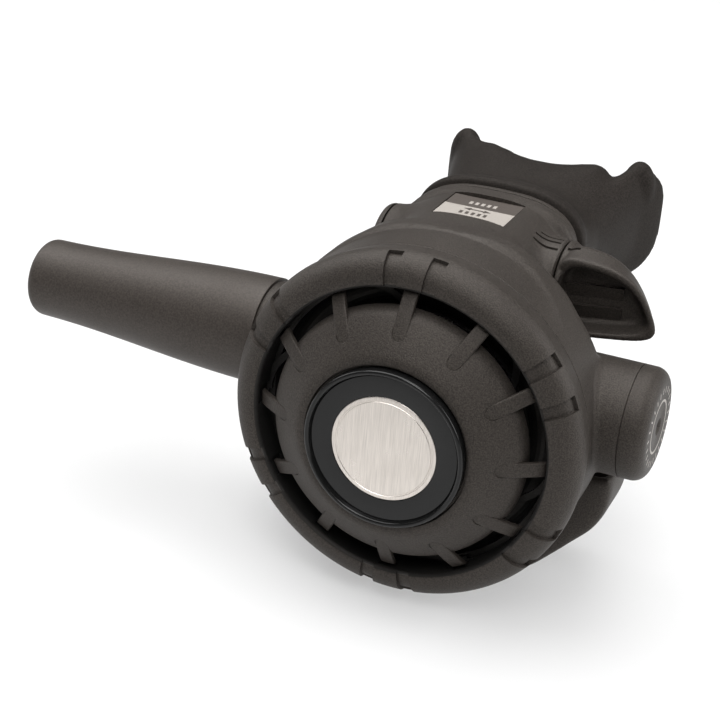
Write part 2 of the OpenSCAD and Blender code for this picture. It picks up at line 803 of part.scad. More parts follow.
// Side view from the feet over the pivot and the knee to the tip
module lever_side() {
    pivot = [lever_x, -lever_pivot_y];
    knee = [lever_x - lever_reach * 0.45, -lever_tip_y + lever_knee];
    tip = [lever_x - lever_reach, -lever_tip_y + lever_t / 2];
    strut([lever_x, -lever_foot / 4], pivot, lever_foot);
    strut(pivot, knee, lever_t);
    strut(knee, tip, lever_t);
}

// The lever forks into two feet that straddle the poppet stem, and narrows towards its tip
module demand_lever() {
    fork = 2 * (poppet_stem_r + move_gap + stack_play);
    narrow = 2;
    color(metal) translate([cover_x, 0, -lever_w / 2]) difference() {
        linear_extrude(lever_w) lever_side();
        translate([lever_x - lever_reach * 0.6, -front_reach, (lever_w - fork) / 2])
            cube([lever_reach, 2 * front_reach, fork]);
        for (z = [-narrow, lever_w - narrow])
            translate([lever_x - 2 * lever_reach, -front_reach, z])
                cube([lever_reach * 1.3, front_reach, 2 * narrow]);
    }
}

// Plug with a hexagon socket for the key that sets the spring
module end_plug() {
    plug_len = boss_right - barrel_end - cap_spigot - 2 * move_gap;
    color(metal) on_barrel() translate([0, 0, barrel_end + seat_gap]) difference() {
        cylinder(r = barrel_r, h = plug_len);
        translate([0, 0, plug_len / 4]) cylinder(r = barrel_r / 3, h = plug_len, $fn = 6);
    }
}

module end_cap() {
    lead = 0.6;
    color(plastic) on_barrel() translate([0, 0, boss_right + seat_gap]) difference() {
        rotate_extrude() polygon(concat(
            [[0, -cap_spigot], [barrel_r - seat_gap, -cap_spigot], [barrel_r - seat_gap, 0], [boss_r, 0]],
            arc(boss_r - cap_round, cap_len - cap_round, cap_round, 0, 90, 8),
            [[0, cap_len]]
        ));
        translate([0, 0, -cap_spigot - cut]) cylinder(r = cap_hole_r, h = cap_len + cap_spigot + 2 * cut);
        translate([0, 0, cap_len - lead])
            cylinder(r1 = cap_hole_r, r2 = cap_hole_r + 2 * lead, h = 2 * lead);
    }
}

// The sleeve swells from the hose towards the case in a gentle curve
module hose_sleeve() {
    pocket = shoulder_r + seat_gap;
    pocket_lead = 2;
    swell = sleeve_big_r - sleeve_small_r;
    edge = 0.7;
    color(plastic) rotate([0, 90, 0]) rotate_extrude() polygon(concat(
        [[hose_bore_r, 0]],
        arc(sleeve_small_r - sleeve_round, sleeve_round, sleeve_round, -90, -3, 6),
        [for (share = [0.25:0.15:0.85])
            [sleeve_small_r + swell * (1 - cos(180 * share)) / 2, sleeve_len * share]],
        arc(sleeve_big_r - edge, sleeve_len - edge, edge, 0, 90, 4),
        [[pocket, sleeve_len], [pocket, hose_bore_len + pocket_lead], [hose_bore_r, hose_bore_len]]
    ));
}

// Round paddle outline with a slanting foot, in width and height from the lever axis
module paddle_outline(inset) {
    slant = 8;
    inner = hub_face + move_gap + inset;
    far = 4 * paddle_r;
    intersection() {
        union() {
            translate([paddle_x, -paddle_drop]) circle(paddle_r - inset);
            translate([inner, -paddle_drop]) square([paddle_x - inner, paddle_r - inset]);
        }
        translate([inner, -far / 2]) square(far);
        translate([inner, inset - paddle_drop - paddle_foot]) rotate(slant)
            translate([-far / 2, 0]) square(far);
    }
}

module on_paddle() {
    translate([cover_x, pivot_depth - front_reach, neck_rise]) rotate([90, 0, 0]) children();
}

module air_lever() {
    back = -2;
    front = back + paddle_t;
    hub_end = 0.6;
    hub_lap = 2;
    step_h = (paddle_r + paddle_foot - 2 * thumb_rim) / (step_count + 1);
    step_low = thumb_rim - paddle_drop - paddle_foot;
    step_t = 1.2;
    step_slant = 20;
    color(plastic) difference() {
        union() {
            on_paddle() translate([0, 0, back]) linear_extrude(paddle_t) paddle_outline(0);
            on_pivot() translate([0, 0, hub_face + move_gap]) cylinder(r = hub_r, h = hub_len);
        }
        on_paddle() difference() {
            translate([0, 0, front - thumb_deep]) linear_extrude(thumb_deep + cut) difference() {
                paddle_outline(thumb_rim);
                translate([hub_face, -2 * paddle_r]) square([hub_len + hub_lap, 4 * paddle_r]);
            }
            for (i = [1:step_count])
                translate([hub_face, step_low + step_h * (i - 0.6), front])
                    rotate([step_slant - 90, 0, 0]) translate([0, -thumb_deep, -thumb_deep - cut])
                        cube([2 * paddle_r, step_t, thumb_deep]);
        }
        on_pivot() cylinder(r = shaft_r + seat_gap, h = hub_face + hub_len - hub_end);
    }
}

module air_lever_shaft() {
    tail = 0.5;
    shaft_len = 2 * hub_face + hub_len - seal_gap - tail;
    color(metal) on_pivot() difference() {
        translate([0, 0, -hub_face - tail]) cylinder(r = shaft_r, h = shaft_len);
        for (side = [-1, 1])
            ring_at(side * shaft_ring_x, shaft_r, shaft_ring_wire + seat_gap);
    }
}

module shaft_o_rings() {
    color(rubber) on_pivot() for (side = [-1, 1]) intersection() {
        ring_at(side * shaft_ring_x, shaft_r, shaft_ring_wire);
        translate([0, 0, side * shaft_ring_x - cut]) cylinder(r = shaft_r, h = 2 * cut);
    }
}

module air_vane() {
    side_gap = 2.6;
    half_w = air_a - side_gap;
    grip = 1.2;
    color(dark_plastic) on_pivot() difference() {
        union() {
            translate([-vane_t / 2, -vane_half, -half_w]) cube([vane_t, 2 * vane_half, 2 * half_w]);
            translate([0, 0, -half_w]) cylinder(r = shaft_r + grip, h = 2 * half_w);
        }
        translate([0, 0, -half_w - cut]) cylinder(r = shaft_r + seat_gap, h = 2 * (half_w + cut));
    }
}

// Round cap with a coin slot on the hose side of the lever axis
module pivot_cap() {
    cap_t = 1.2;
    cap_lap = 0.6;
    edge = 0.9;
    cap_r = hub_r + cap_lap;
    slot_w = 1.4;
    slot_len = hub_r;
    slot_deep = cap_t / 2;
    shaft_deep = 0.25;
    color(plastic) on_pivot() translate([0, 0, -hub_face - move_gap - cap_t]) difference() {
        rotate_extrude() polygon(concat(
            [[0, cap_t], [0, 0]],
            arc(cap_r - edge, edge, edge, -90, 0, 4),
            [[cap_r, cap_t]]
        ));
        translate([0, 0, cap_t - shaft_deep]) cylinder(r = shaft_r + seat_gap, h = cut);
        translate([-slot_len / 2, -slot_w / 2, -cut]) cube([slot_len, slot_w, slot_deep + cut]);
    }
}

module window_label() {
    edge = 0.2;
    color(metal) on_neck()
        translate([-window_w / 2 + edge, -window_floor - label_t, window_depth + edge])
            cube([window_w - 2 * edge, label_t, window_len - 2 * edge]);
}

// Rings of the mouthpiece skin as half width, upper and lower half height, squareness, depth, bend
// and share of the ears
function mouth_sections() =
    let (end = collar_len, mid = flange_depth, back = mid + flange_t, low = flange_low, bend = flange_bend,
         start = 0.2, ridge = tie_start + tie_w, round = 0.8, crown = 1.2, crown_end = 3.6, ridge_end = 5,
         in_a = tie_a - tie_t, in_b = tie_b - tie_t, soft_a = collar_a - round, soft_b = collar_b - round,
         throat_a = waist_a + 1.2, throat_b = waist_b + 1.4, lip = flange_t / 4,
         dish = 5, root = 3.5, bore_a = spigot_a + seat_gap, bore_b = spigot_b + seat_gap)
    [[bore_a, bore_b, bore_b, 2, start, 0, 0],
     [in_a, in_b, in_b, 2, start, 0, 0],
     [in_a, in_b, in_b, 2, ridge + start, 0, 0],
     [soft_a, soft_b, soft_b, 2, ridge + 1.5 * start, 0, 0],
     [collar_a, collar_b, collar_b, 2, ridge + crown, 0, 0],
     [collar_a, collar_b, collar_b, 2, ridge + crown_end, 0, 0],
     [soft_a, soft_b, soft_b, 2, ridge + ridge_end, 0, 0],
     [throat_a, throat_b, throat_b, 2, end + 2, 0, 0],
     [waist_a, waist_b, waist_b, 2.1, mid * 0.55, 2, 0],
     [waist_a + 2.6, waist_b + 0.8, waist_b + 2, 2.4, mid * 0.75, bend * 0.35, 0],
     [flange_a - root, flange_b - 1, low - 2.5, 3, mid - 2.6, bend * 0.75, 0.6],
     [flange_a, flange_b, low, 3.4, mid, bend, 1],
     [flange_a - lip, flange_b - lip, low - lip, 3.4, back, bend, 1],
     [flange_a - dish, flange_b - 3, low - dish, 2.8, back - 1, bend * 0.8, 0.4],
     [mouth_a, mouth_b, mouth_b, 2.1, mid - 3, 1, 0],
     [mouth_a, mouth_b, mouth_b, 2, end + 1.5, 0, 0],
     [bore_a, bore_b, bore_b, 2, spigot_len + 1.5 * start, 0, 0]];

function power(v, p) = sign(v) * pow(abs(v), 2 / p);
// The upper edge of the flange dips in a wide bow at its middle and more sharply beside each ear
function ear_dip(x) =
    let (bow = 0.245, bow_w = 19, notch = 0.225, notch_x = 20.3, notch_half = 2.5)
    bow * exp(-pow(x / bow_w, 2)) + notch * exp(-pow((abs(x) - notch_x) / notch_half, 2));
function mouth_points(s) = [
    for (j = [0:mouth_sides - 1])
        let (turn = 360 * (j + 0.5) / mouth_sides,
             x = s[0] * power(cos(turn), s[3]),
             z = power(sin(turn), s[3]),
             rise = z < 0 ? s[1] * z * (1 - s[6] * ear_dip(x)) : s[2] * z)
        [x, rise, neck_depth + s[4] + s[5] * pow(x / flange_a, 2)]
];
function loop_faces(rings, sides) = [
    for (i = [0:rings - 1]) for (j = [0:sides - 1])
        each let (a = i * sides + j, b = i * sides + (j + 1) % sides,
                  c = ((i + 1) % rings) * sides + j, d = ((i + 1) % rings) * sides + (j + 1) % sides)
            [[a, c, b], [b, c, d]]
];

// Depth of the inner face of the flange beside the mouth bore
function flange_inside(x) =
    let (edge = flange_a - 5, rise = flange_t + 2 + flange_bend * 0.8 * pow(edge / flange_a, 2))
    neck_depth + flange_depth - 3 + rise * (x - mouth_a) / (edge - mouth_a);

// Flat tab that the teeth hold, with a stop at its end and a ridge before it
module bite_tab() {
    r = 1.2;
    root = 1.5;
    left = mouth_a + 1 + r;
    right = left + tab_w - 2 * r;
    stop = tab_t / 2 + 1.4;
    end = neck_depth + flange_depth + tab_len - r;
    hull() for (x = [left, right], y = [r - tab_t / 2, tab_t / 2 - r])
        for (z = [flange_inside(x) - root, end])
            translate([x, y, z]) sphere(r, $fn = 16);
    for (y = [-stop, stop], z = [end, end - tab_len * 0.3])
        hull() for (x = [left, right], rise = [0, y])
            translate([x, rise, z]) sphere(r, $fn = 16);
}

module mouthpiece() {
    sections = mouth_sections();
    color(rubber) on_neck() union() {
        polyhedron([for (s = sections) each mouth_points(s)],
                   loop_faces(len(sections), mouth_sides), convexity = 10);
        bite_tab();
        mirror([1, 0, 0]) bite_tab();
    }
}

module mouthpiece_tie() {
    head_w = 4;
    head_t = 2.6;
    head_lap = 0.4;
    color(dark_plastic) on_neck() translate([0, 0, neck_depth + tie_start]) union() {
        linear_extrude(tie_w) difference() {
            polygon(oval(tie_a, tie_b));
            polygon(oval(tie_a - tie_t + seat_gap, tie_b - tie_t + seat_gap));
        }
        translate([-head_w / 2, tie_b - head_lap, 0]) cube([head_w, head_t, tie_w]);
    }
}

module exhaust_valve() {
    stem_end = back_depth - case_wall - 1.5 * cut;
    color(rubber) on_cover() translate([0, exhaust_drop, 0]) rotate_extrude() polygon([
        [0, stem_end], [valve_stem_r, stem_end],
        [valve_stem_r, exhaust_seat + seat_gap], [exhaust_r, exhaust_seat + seat_gap],
        [exhaust_r, exhaust_seat + exhaust_t * 0.6], [valve_stem_r, exhaust_seat + exhaust_t],
        [0, exhaust_seat + exhaust_t]
    ]);
}

// Bowl outline of the tee, in width and height below the cover axis
function tee_outline(inset) =
    let (shoulder = 4, step = 4.5, turn = 40,
         wing_x = tee_half - wing_r, wing_y = wing_top + shoulder,
         corner_x = wing_x - step, corner_y = tee_bottom - tee_corner_r,
         half = concat([[tee_half - inset, wing_top]],
                       arc(wing_x, wing_y, wing_r - inset, 0, turn, 6),
                       arc(corner_x, corner_y, tee_corner_r - inset, turn, 90, 6)))
    concat(half, [for (i = [len(half) - 1:-1:0]) [-half[i][0], half[i][1]]]);

module tee_bowl(inset, from, to) {
    edge = 0.1;
    hull() {
        translate([0, 0, from])
            linear_extrude(to - from - tee_chamfer) polygon(tee_outline(inset));
        translate([0, 0, to - edge]) linear_extrude(edge) polygon(tee_outline(inset + tee_chamfer));
    }
}

module exhaust_tee() {
    hood_r = exhaust_r + tee_wall + 2;
    hood_lap = 4;
    shell = [for (p = case_outside()) [p[0] == 0 ? 0 : p[0] + seat_gap, p[1] + 2 * seat_gap]];
    color(plastic) on_cover() difference() {
        union() {
            tee_bowl(0, tee_front, tee_back);
            translate([0, exhaust_drop, exhaust_seat - hood_lap])
                cylinder(r = hood_r, h = tee_back - exhaust_seat + hood_lap);
        }
        translate([0, -cut, 0]) tee_bowl(tee_wall, tee_front + tee_wall, tee_back - tee_wall);
        translate([0, exhaust_drop, 0]) cylinder(r = hood_r - tee_wall, h = tee_back - tee_wall);
        rotate_extrude() polygon(shell);
        translate([0, -cover_drop, front_reach]) rotate([0, 90, 0])
            cylinder(r = boss_r + 2 * seat_gap, h = 3 * cover_r, center = true);
    }
}

case();
cover_ring();
inner_guard();
diaphragm();
diaphragm_plate();
purge_button();
badge_bezel();
badge_disc();
purge_spring();
inlet_barrel();
inlet_nut();
orifice();
orifice_o_ring();
barrel_o_rings();
poppet();
poppet_seat();
poppet_spring();
lever_washer();
lever_locknut();
demand_lever();
end_plug();
end_cap();
hose_sleeve();
air_lever();
air_lever_shaft();
air_vane();
pivot_cap();
shaft_o_rings();
window_label();
mouthpiece();
mouthpiece_tie();
exhaust_valve();
exhaust_tee();
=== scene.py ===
"""Looks of a diving regulator's second stage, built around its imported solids."""

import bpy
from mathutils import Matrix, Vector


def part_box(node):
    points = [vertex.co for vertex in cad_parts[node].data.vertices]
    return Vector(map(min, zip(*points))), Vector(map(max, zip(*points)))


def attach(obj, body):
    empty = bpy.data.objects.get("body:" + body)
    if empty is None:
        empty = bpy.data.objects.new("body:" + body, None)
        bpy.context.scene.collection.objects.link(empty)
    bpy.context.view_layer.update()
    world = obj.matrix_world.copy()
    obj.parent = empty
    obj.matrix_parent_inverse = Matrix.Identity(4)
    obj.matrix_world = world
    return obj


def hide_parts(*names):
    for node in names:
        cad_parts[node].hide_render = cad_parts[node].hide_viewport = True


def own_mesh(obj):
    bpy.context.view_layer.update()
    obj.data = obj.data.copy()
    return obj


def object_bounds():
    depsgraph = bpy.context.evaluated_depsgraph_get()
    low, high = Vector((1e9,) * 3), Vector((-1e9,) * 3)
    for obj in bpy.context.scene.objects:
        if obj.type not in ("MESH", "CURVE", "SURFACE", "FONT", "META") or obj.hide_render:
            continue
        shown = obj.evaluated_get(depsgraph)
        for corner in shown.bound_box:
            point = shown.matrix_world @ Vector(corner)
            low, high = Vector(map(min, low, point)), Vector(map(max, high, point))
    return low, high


bl_info = {
    "name": "Diving Regulator Second Stage",
    "version": (1, 1, 0),
    "blender": (4, 5, 0),
    "location": "View3D > Sidebar > Regulator",
    "description": "Builds the shown pieces, finishes and stage of a diving regulator's second stage",
    "category": "Object",
}

import math

import bmesh
import bpy
import numpy as np
from bpy.props import FloatProperty, FloatVectorProperty, IntProperty, PointerProperty
from bpy.types import Operator, Panel, PropertyGroup
from mathutils import Matrix, Vector

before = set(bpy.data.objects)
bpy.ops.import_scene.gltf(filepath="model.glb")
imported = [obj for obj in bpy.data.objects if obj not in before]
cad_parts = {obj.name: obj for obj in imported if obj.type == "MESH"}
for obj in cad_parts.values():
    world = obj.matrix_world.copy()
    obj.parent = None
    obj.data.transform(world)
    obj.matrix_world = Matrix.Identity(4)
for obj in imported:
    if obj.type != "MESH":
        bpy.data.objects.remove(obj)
CAD_BOX = [list(corner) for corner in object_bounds()]
MM = 0.001
FAR = 0.2

# Fits that several pieces share, in metres
DISC_DEPTH = 0.6 * MM
DISC_T = 0.6 * MM
BADGE_SEAT = 2.4 * MM
BADGE_LEDGE = 0.7 * MM
CHAMBER_R = 35.5 * MM
BARREL_R = 9.45 * MM
SHAFT_R = 2.26 * MM
SPIGOT = (19.2 * MM, 12.8 * MM)
AIR_WAY = (16.8 * MM, 10.4 * MM)
PRINT_T = 0.02 * MM

# Places that the solids give, in metres
RING_LOW, RING_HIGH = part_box("cover_ring")
COVER_X = (RING_LOW.x + RING_HIGH.x) / 2
COVER_Z = (RING_LOW.z + RING_HIGH.z) / 2
COVER_R = (RING_HIGH.x - RING_LOW.x) / 2
SHAFT_LOW, SHAFT_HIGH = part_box("air_lever_shaft")
PIVOT_Y = (SHAFT_LOW.y + SHAFT_HIGH.y) / 2
NECK_Z = (SHAFT_LOW.z + SHAFT_HIGH.z) / 2
FACE_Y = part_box("badge_disc")[0].y - DISC_DEPTH
RING_BACK = RING_HIGH.y - FACE_Y
DRUM_FRONT = RING_BACK - 6 * MM
GUARD_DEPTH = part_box("inner_guard")[0].y - FACE_Y
TIE_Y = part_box("mouthpiece_tie")[0].y
NECK_END = TIE_Y - 0.4 * MM
LEVER_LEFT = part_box("air_lever")[0].x - COVER_X
HUB_FACE = LEVER_LEFT - 0.3 * MM
HUB_END = HUB_FACE + 2 * MM
CAP_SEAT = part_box("end_cap")[0].x + 1.6 * MM
NUT_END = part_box("inlet_nut")[1].x


def length(name, default, description):
    """A size in metres that a user can change."""
    return FloatProperty(name=name, description=description, default=default * MM, unit="LENGTH", precision=5)


def angle(name, default, description):
    """An angle that a user can change."""
    return FloatProperty(name=name, description=description, default=math.radians(default), subtype="ANGLE")


def number(name, default, description):
    """A count that a user can change."""
    return IntProperty(name=name, description=description, default=default, min=1)


def ratio(name, default, description):
    """A plain number that a user can change."""
    return FloatProperty(name=name, description=description, default=default)


def power(name, default, description):
    """A light's power in watts, or a strength, that a user can change."""
    return FloatProperty(name=name, description=description, default=default, min=0.0)


def paint(name, default, description):
    """A colour that a user can change."""
    return FloatVectorProperty(name=name, description=description, default=default, size=3,
                               subtype="COLOR", min=0.0, max=1.0)


class CoverSizes(PropertyGroup):
    """Sizes of the cover ring, the purge button and the badge"""
    mouth_r: length("Mouth radius", 35.2, "Radius of the round mouth in the ring")
    lip_round: length("Lip rounding", 1.2, "Rounding between the mouth and the crest of the lip")
    lip_depth: length("Lip depth", 8, "Depth of the lip behind the badge face")
    taper: length("Taper", 0.8, "How far the ring tapers in towards its rear edge")
    notch_pairs: number("Notch pairs", 6, "Pairs of grip notches")
    notch_spread: angle("Notch spread", 14.2, "Angle between the notches of a pair")
    notch_w: length("Notch width", 3.6, "Width of a grip notch")
    notch_deep: length("Notch depth", 0.9, "Depth of a grip notch")
    pocket_deep: length("Pocket depth", 0.6, "Depth of a rib's pocket in the mouth of the ring")
    button_r: length("Button radius", 30.8, "Radius of the domed button")
    dome_r: length("Dome sphere", 45, "Radius of the sphere that the dome is part of")
    dome_start: length("Dome start", 0.4, "Depth at which the dome begins beside the badge")
    rib_count: number("Ribs", 12, "Ribs between the dome and the ring")
    rib_w: length("Rib width", 3.5, "Width of a rib")
    rib_t: length("Rib thickness", 1.9, "Thickness of a rib")
    rib_start: length("Rib start", 25, "Radius at which a rib comes out of the dome")
    rib_sink: length("Rib sink", 0.45, "How far a rib starts under the dome's surface")
    rib_end: length("Rib end", 34.8, "Radius at which a rib ends")
    rib_sphere: length("Rib sphere", 57, "Radius of the sphere that the rib tops lie on")
    bezel_r: length("Bezel radius", 19.1, "Outer radius of the badge rim")
    disc_r: length("Disc radius", 12.6, "Radius of the brushed disc")


class CaseSizes(PropertyGroup):
    """Sizes of the case and of the end cap"""
    rim_r: length("Rim radius", 41.7, "Radius of the case rim")
    back_depth: length("Back depth", 37.5, "Depth of the back wall behind the badge face")
    back_round: length("Back rounding", 4.4, "Rounding of the case behind its rim")
    boss_r: length("Boss radius", 13.4, "Radius of the barrel bosses")
    neck_a: length("Neck half width", 22, "Half width of the neck at its end")
    neck_b: length("Neck half height", 14.8, "Half height of the neck")
    neck_square: ratio("Neck squareness", 2.7, "2 for a plain oval, more for a squarer one")
    neck_waist: length("Neck waist", 18.8, "Half width of the neck between its ends")
    flare: length("Neck flare", 5, "Width the neck gains on each side where it runs into the case")
    flare_depth: length("Flare depth", 41.6, "Depth at which the flare ends")
    hub_r: length("Hub radius", 10.2, "Radius of the boss that the air lever turns on")
    blend: length("Blend", 9, "Reach of the blend between the case and the neck")
    window_w: length("Window width", 18, "Width of the label window")
    window_len: length("Window length", 16, "Length of the label window")
    window_floor: length("Window floor", 13.0, "Height of the window floor above the neck axis")
    voxel: length("Mesh size", 0.6, "Mesh size of the moulded shells")
    cap_round: length("Cap rounding", 3.4, "Rounding of the end cap")
    mark_r: length("Mark ring", 6.2, "Radius of the printed ring on the end cap")
    ticks: number("Ticks", 24, "Ticks printed around that ring")


class LeverSizes(PropertyGroup):
    """Sizes of the air lever"""
    paddle_r: length("Paddle radius", 33, "Radius of the far side of the paddle")
    paddle_x: length("Paddle centre", 16.6, "Distance of that arc's centre from the cover axis")
    paddle_drop: length("Paddle drop", 14.9, "Distance of that arc's centre below the lever axis")
    top: length("Top", 9.6, "Height of the paddle's front edge above the lever axis")
    foot: length("Foot", -10.5, "Height of the paddle's foot beside the hub, from the lever axis")
    front: length("Front", 8, "Reach of the paddle in front of the lever axis")
    back: length("Back", 2, "Reach of the paddle behind the lever axis")
    recess: length("Recess", 4.6, "Depth of the thumb recess")
    recess_left: length("Recess start", 23.7, "Distance of the recess from the cover axis")
    rim: length("Rim", 1.5, "Rim around the thumb recess")
    lean: ratio("Lean", 0.4, "How much the far end draws in for each unit of depth")
    hub_len: length("Hub length", 4, "Length of the hub")
    steps: number("Steps", 2, "Grip steps in the thumb recess")
    step: length("Step", 5.1, "Distance between two grip steps")
    cap_r: length("Cap radius", 10.1, "Radius of the round cap on the far end of the axis")


class MouthSizes(PropertyGroup):
    """Sizes of the mouthpiece and its tie"""
    collar_a: length("Collar half width", 22.45, "Half width of the collar")
    collar_b: length("Collar half height", 16.05, "Half height of the collar")
    collar_len: length("Collar length", 11.5, "Length of the collar")
    waist_a: length("Waist half width", 21.6, "Half width of the waist")
    waist_b: length("Waist half height", 12, "Half height of the waist")
    flange_a: length("Flange half width", 30.1, "Half width of the lip flange")
    flange_b: length("Flange rise", 16.2, "Height of the lip flange above its middle")
    flange_low: length("Flange fall", 21, "Height of the lip flange below its middle")
    flange_depth: length("Flange depth", 34.6, "Depth of the middle of the flange behind the neck end")
    bend: length("Flange bend", 14, "How far the ends of the flange bend back")
    flange_t: length("Flange thickness", 2.2, "Thickness of the flange edge")
    ear_r: length("Ear radius", 4.5, "Radius of the thick upper corners of the flange")
    bore_a: length("Bore half width", 14.5, "Half width of the mouth bore")
    bore_b: length("Bore half height", 7.6, "Half height of the mouth bore")
    tab_len: length("Tab reach", 25, "Reach of a bite tab behind the middle of the flange")
    tab_w: length("Tab width", 11, "Width of a bite tab")
    tab_t: length("Tab thickness", 5, "Thickness of a bite tab")
    tie_a: length("Tie half width", 21.4, "Half width of the tie")
    tie_b: length("Tie half height", 14.7, "Half height of the tie")
    tie_w: length("Tie width", 1.5, "Width of the tie")
    voxel: length("Mesh size", 0.65, "Mesh size of the soft shell")


class Finishes(PropertyGroup):
    """Colours of the finishes"""
    plastic: paint("Plastic", (0.030, 0.0255, 0.0222), "Grained black plastic")
    # Near-black of the inner pieces and the black rubber; also used as painted shade on the wall of the
    # ring's mouth.
    dark: paint("Dark plastic", (0.008, 0.008, 0.008), "Plain black plastic deep inside")
    rubber: paint("Rubber", (0.014, 0.0116, 0.0101), "Soft black silicone")
    sleeve: paint("Sleeve", (0.038, 0.0320, 0.0280), "Smooth black sleeve")
    gloss: paint("Gloss", (0.008, 0.008, 0.008), "Polished black rim of the badge")
    silver: paint("Silver", (0.70, 0.65, 0.60), "Brushed disc")
    steel: paint("Steel", (0.60, 0.59, 0.58), "Stainless steel")
    brass: paint("Brass", (0.60, 0.52, 0.34), "Plated brass")
    light_print: paint("Light print", (0.36, 0.33, 0.30), "Light print on the label and the cap")
    dark_print: paint("Dark print", (0.070, 0.058, 0.050), "Dark print on the label")


class StageSizes(PropertyGroup):
    """Camera, floor and light"""
    azimuth: angle("Azimuth", 22.0, "Turn of the camera towards the end cap")
    elevation: angle("Elevation", 25.2, "Height angle of the camera")
    roll: angle("Roll", 4.2, "Roll of the camera")
    place: FloatVectorProperty(name="Place", description="Place of the camera", size=3,
                               default=(0.2308, -0.3494, 0.1755), subtype="TRANSLATION")
    lens: FloatProperty(name="Lens", description="Focal length", default=85.8, unit="CAMERA")
    top: power("Top light", 25.5, "Power of the wide light above in watts")
    front: power("Front light", 4.5, "Power of the light beside the camera in watts")
    side: power("Side light", 1.2, "Power of the light on the side of the hose in watts")
    edge: power("Edge light", 1.8, "Power of the light on the side of the end cap in watts")
    sky: power("Sky", 0.1, "Strength of the even light from all around")
    glow: power("Floor glow", 0.42, "Light that the floor gives off, as a lit backdrop does")
    far_glow: power("Far glow", 0.9, "Light that the floor gives off far from the part")


# Mesh helpers

def cover_point(r, turn, depth):
    """A point given by its radius, its angle and its depth behind the badge face."""
    return (COVER_X + r * math.cos(turn), FACE_Y + depth, COVER_Z + r * math.sin(turn))


def barrel_point(r, turn, along):
    """A point round the barrel axis, along X."""
    return (along, r * math.cos(turn), r * math.sin(turn))


def pivot_point(r, turn, along):
    """A point round the axis of the air lever, along X from the cover axis."""
    return (COVER_X + along, PIVOT_Y + r * math.cos(turn), NECK_Z + r * math.sin(turn))


def arc(cx, cy, r, start, stop, count):
    """Points of an arc, from angle start to stop in degrees."""
    turns = np.radians(np.linspace(start, stop, count))
    return [(cx + r * math.cos(t), cy + r * math.sin(t)) for t in turns]


def oval(a, b, cx, cy, count=96):
    """Points of an oval."""
    turns = np.linspace(0, 2 * math.pi, count, endpoint=False)
    return [(cx + a * math.cos(t), cy + b * math.sin(t)) for t in turns]


def bulge(value, squareness):
    """Turns a sine or cosine into that of a squarer oval."""
    return math.copysign(abs(value) ** (2 / squareness), value)


def rounded_square(count, squareness=5.0):
    """Points of a square with round corners, from -1 to 1; the less squareness, the rounder."""
    turns = np.linspace(0, 2 * math.pi, count, endpoint=False)
    return [(bulge(math.cos(t), squareness), bulge(math.sin(t), squareness)) for t in turns]


def squared_oval(a, b, squareness, count=128):
    """A closed oval around the neck axis, squared like the neck."""
    return [(COVER_X + a * u, NECK_Z + b * v) for u, v in rounded_square(count, squareness)]


def rectangle(low_x, low_y, high_x, high_y):
    """The four corners of a rectangle."""
    return [(low_x, low_y), (high_x, low_y), (high_x, high_y), (low_x, high_y)]


def smooth_step(x):
    """Eases from 0 to 1 while x goes from 0 to 1."""
    x = np.clip(x, 0.0, 1.0)
    return x * x * (3 - 2 * x)


def grid_faces(rows, columns, close_rows=True):
    """Faces between rows of points; each row is a closed loop."""
    faces = []
    for i in range(rows if close_rows else rows - 1):
        for j in range(columns):
            k, m = (i + 1) % rows, (j + 1) % columns
            faces.append((i * columns + j, i * columns + m, k * columns + m, k * columns + j))
    return faces


def finish_mesh(mesh, sharp=38.0):
    """Merges doubles, turns the faces outwards and shades all but sharp edges smooth."""
    work = bmesh.new()
    work.from_mesh(mesh)
    bmesh.ops.remove_doubles(work, verts=work.verts, dist=1e-7)
    bmesh.ops.dissolve_degenerate(work, edges=work.edges, dist=1e-8)
    bmesh.ops.recalc_face_normals(work, faces=work.faces)
    work.to_mesh(mesh)
    work.free()
    mesh.shade_smooth()
    mesh.set_sharp_from_angle(angle=math.radians(sharp))


def mesh_object(name, points, faces, sharp=38.0):
    """A mesh object at the origin with its place in its points."""
    mesh = bpy.data.meshes.new(name)
    mesh.from_pydata([tuple(p) for p in points], [], faces)
    finish_mesh(mesh, sharp)
    made = bpy.data.objects.new(name, mesh)
    bpy.context.scene.collection.objects.link(made)
    return made


def copy_of_solid(name, node):
    """A piece that starts as a copy of a solid, with its loose triangles merged."""
    made = bpy.data.objects.new(name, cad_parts[node].data.copy())
    bpy.context.scene.collection.objects.link(made)
    finish_mesh(made.data)
    return made


def loft(name, rows, capped=False, sharp=38.0):
    """A skin over rows of points; it closes into a loop of rows, or its two ends are capped."""
    columns = len(rows[0])
    points = [p for row in rows for p in row]
    faces = grid_faces(len(rows), columns, close_rows=not capped)
    if capped:
        last = (len(rows) - 1) * columns
        faces.append(tuple(range(columns)))
        faces.append(tuple(last + j for j in range(columns)))
    return mesh_object(name, points, faces, sharp)


def revolve(name, outline, place, turns=128, sharp=38.0):
    """A closed outline of radius and distance turned round the axis that place knows."""
    angles = [2 * math.pi * j / turns for j in range(turns)]
    return loft(name, [[place(r, a, d) for a in angles] for r, d in outline], sharp=sharp)


def bar(name, ring, start, stop, axis):
    """A straight bar with a closed section, along X, Y or Z."""
    at = "XYZ".index(axis)
    rows = [[(*point[:at], place, *point[at:]) for point in ring] for place in (start, stop)]
    return loft(name, rows, capped=True)


def evaluated_mesh(made):
    """The mesh that an object's modifiers give."""
    graph = bpy.context.evaluated_depsgraph_get()
    graph.update()
    return bpy.data.meshes.new_from_object(made.evaluated_get(graph))


def apply_modifiers(made):
    """Puts the result of an object's modifiers into its mesh."""
    mesh = evaluated_mesh(made)
    old = made.data
    made.modifiers.clear()
    made.data = mesh
    bpy.data.meshes.remove(old)
    return made


def drop(made):
    """Removes a helper object and its mesh."""
    mesh = made.data
    bpy.data.objects.remove(made)
    bpy.data.meshes.remove(mesh)


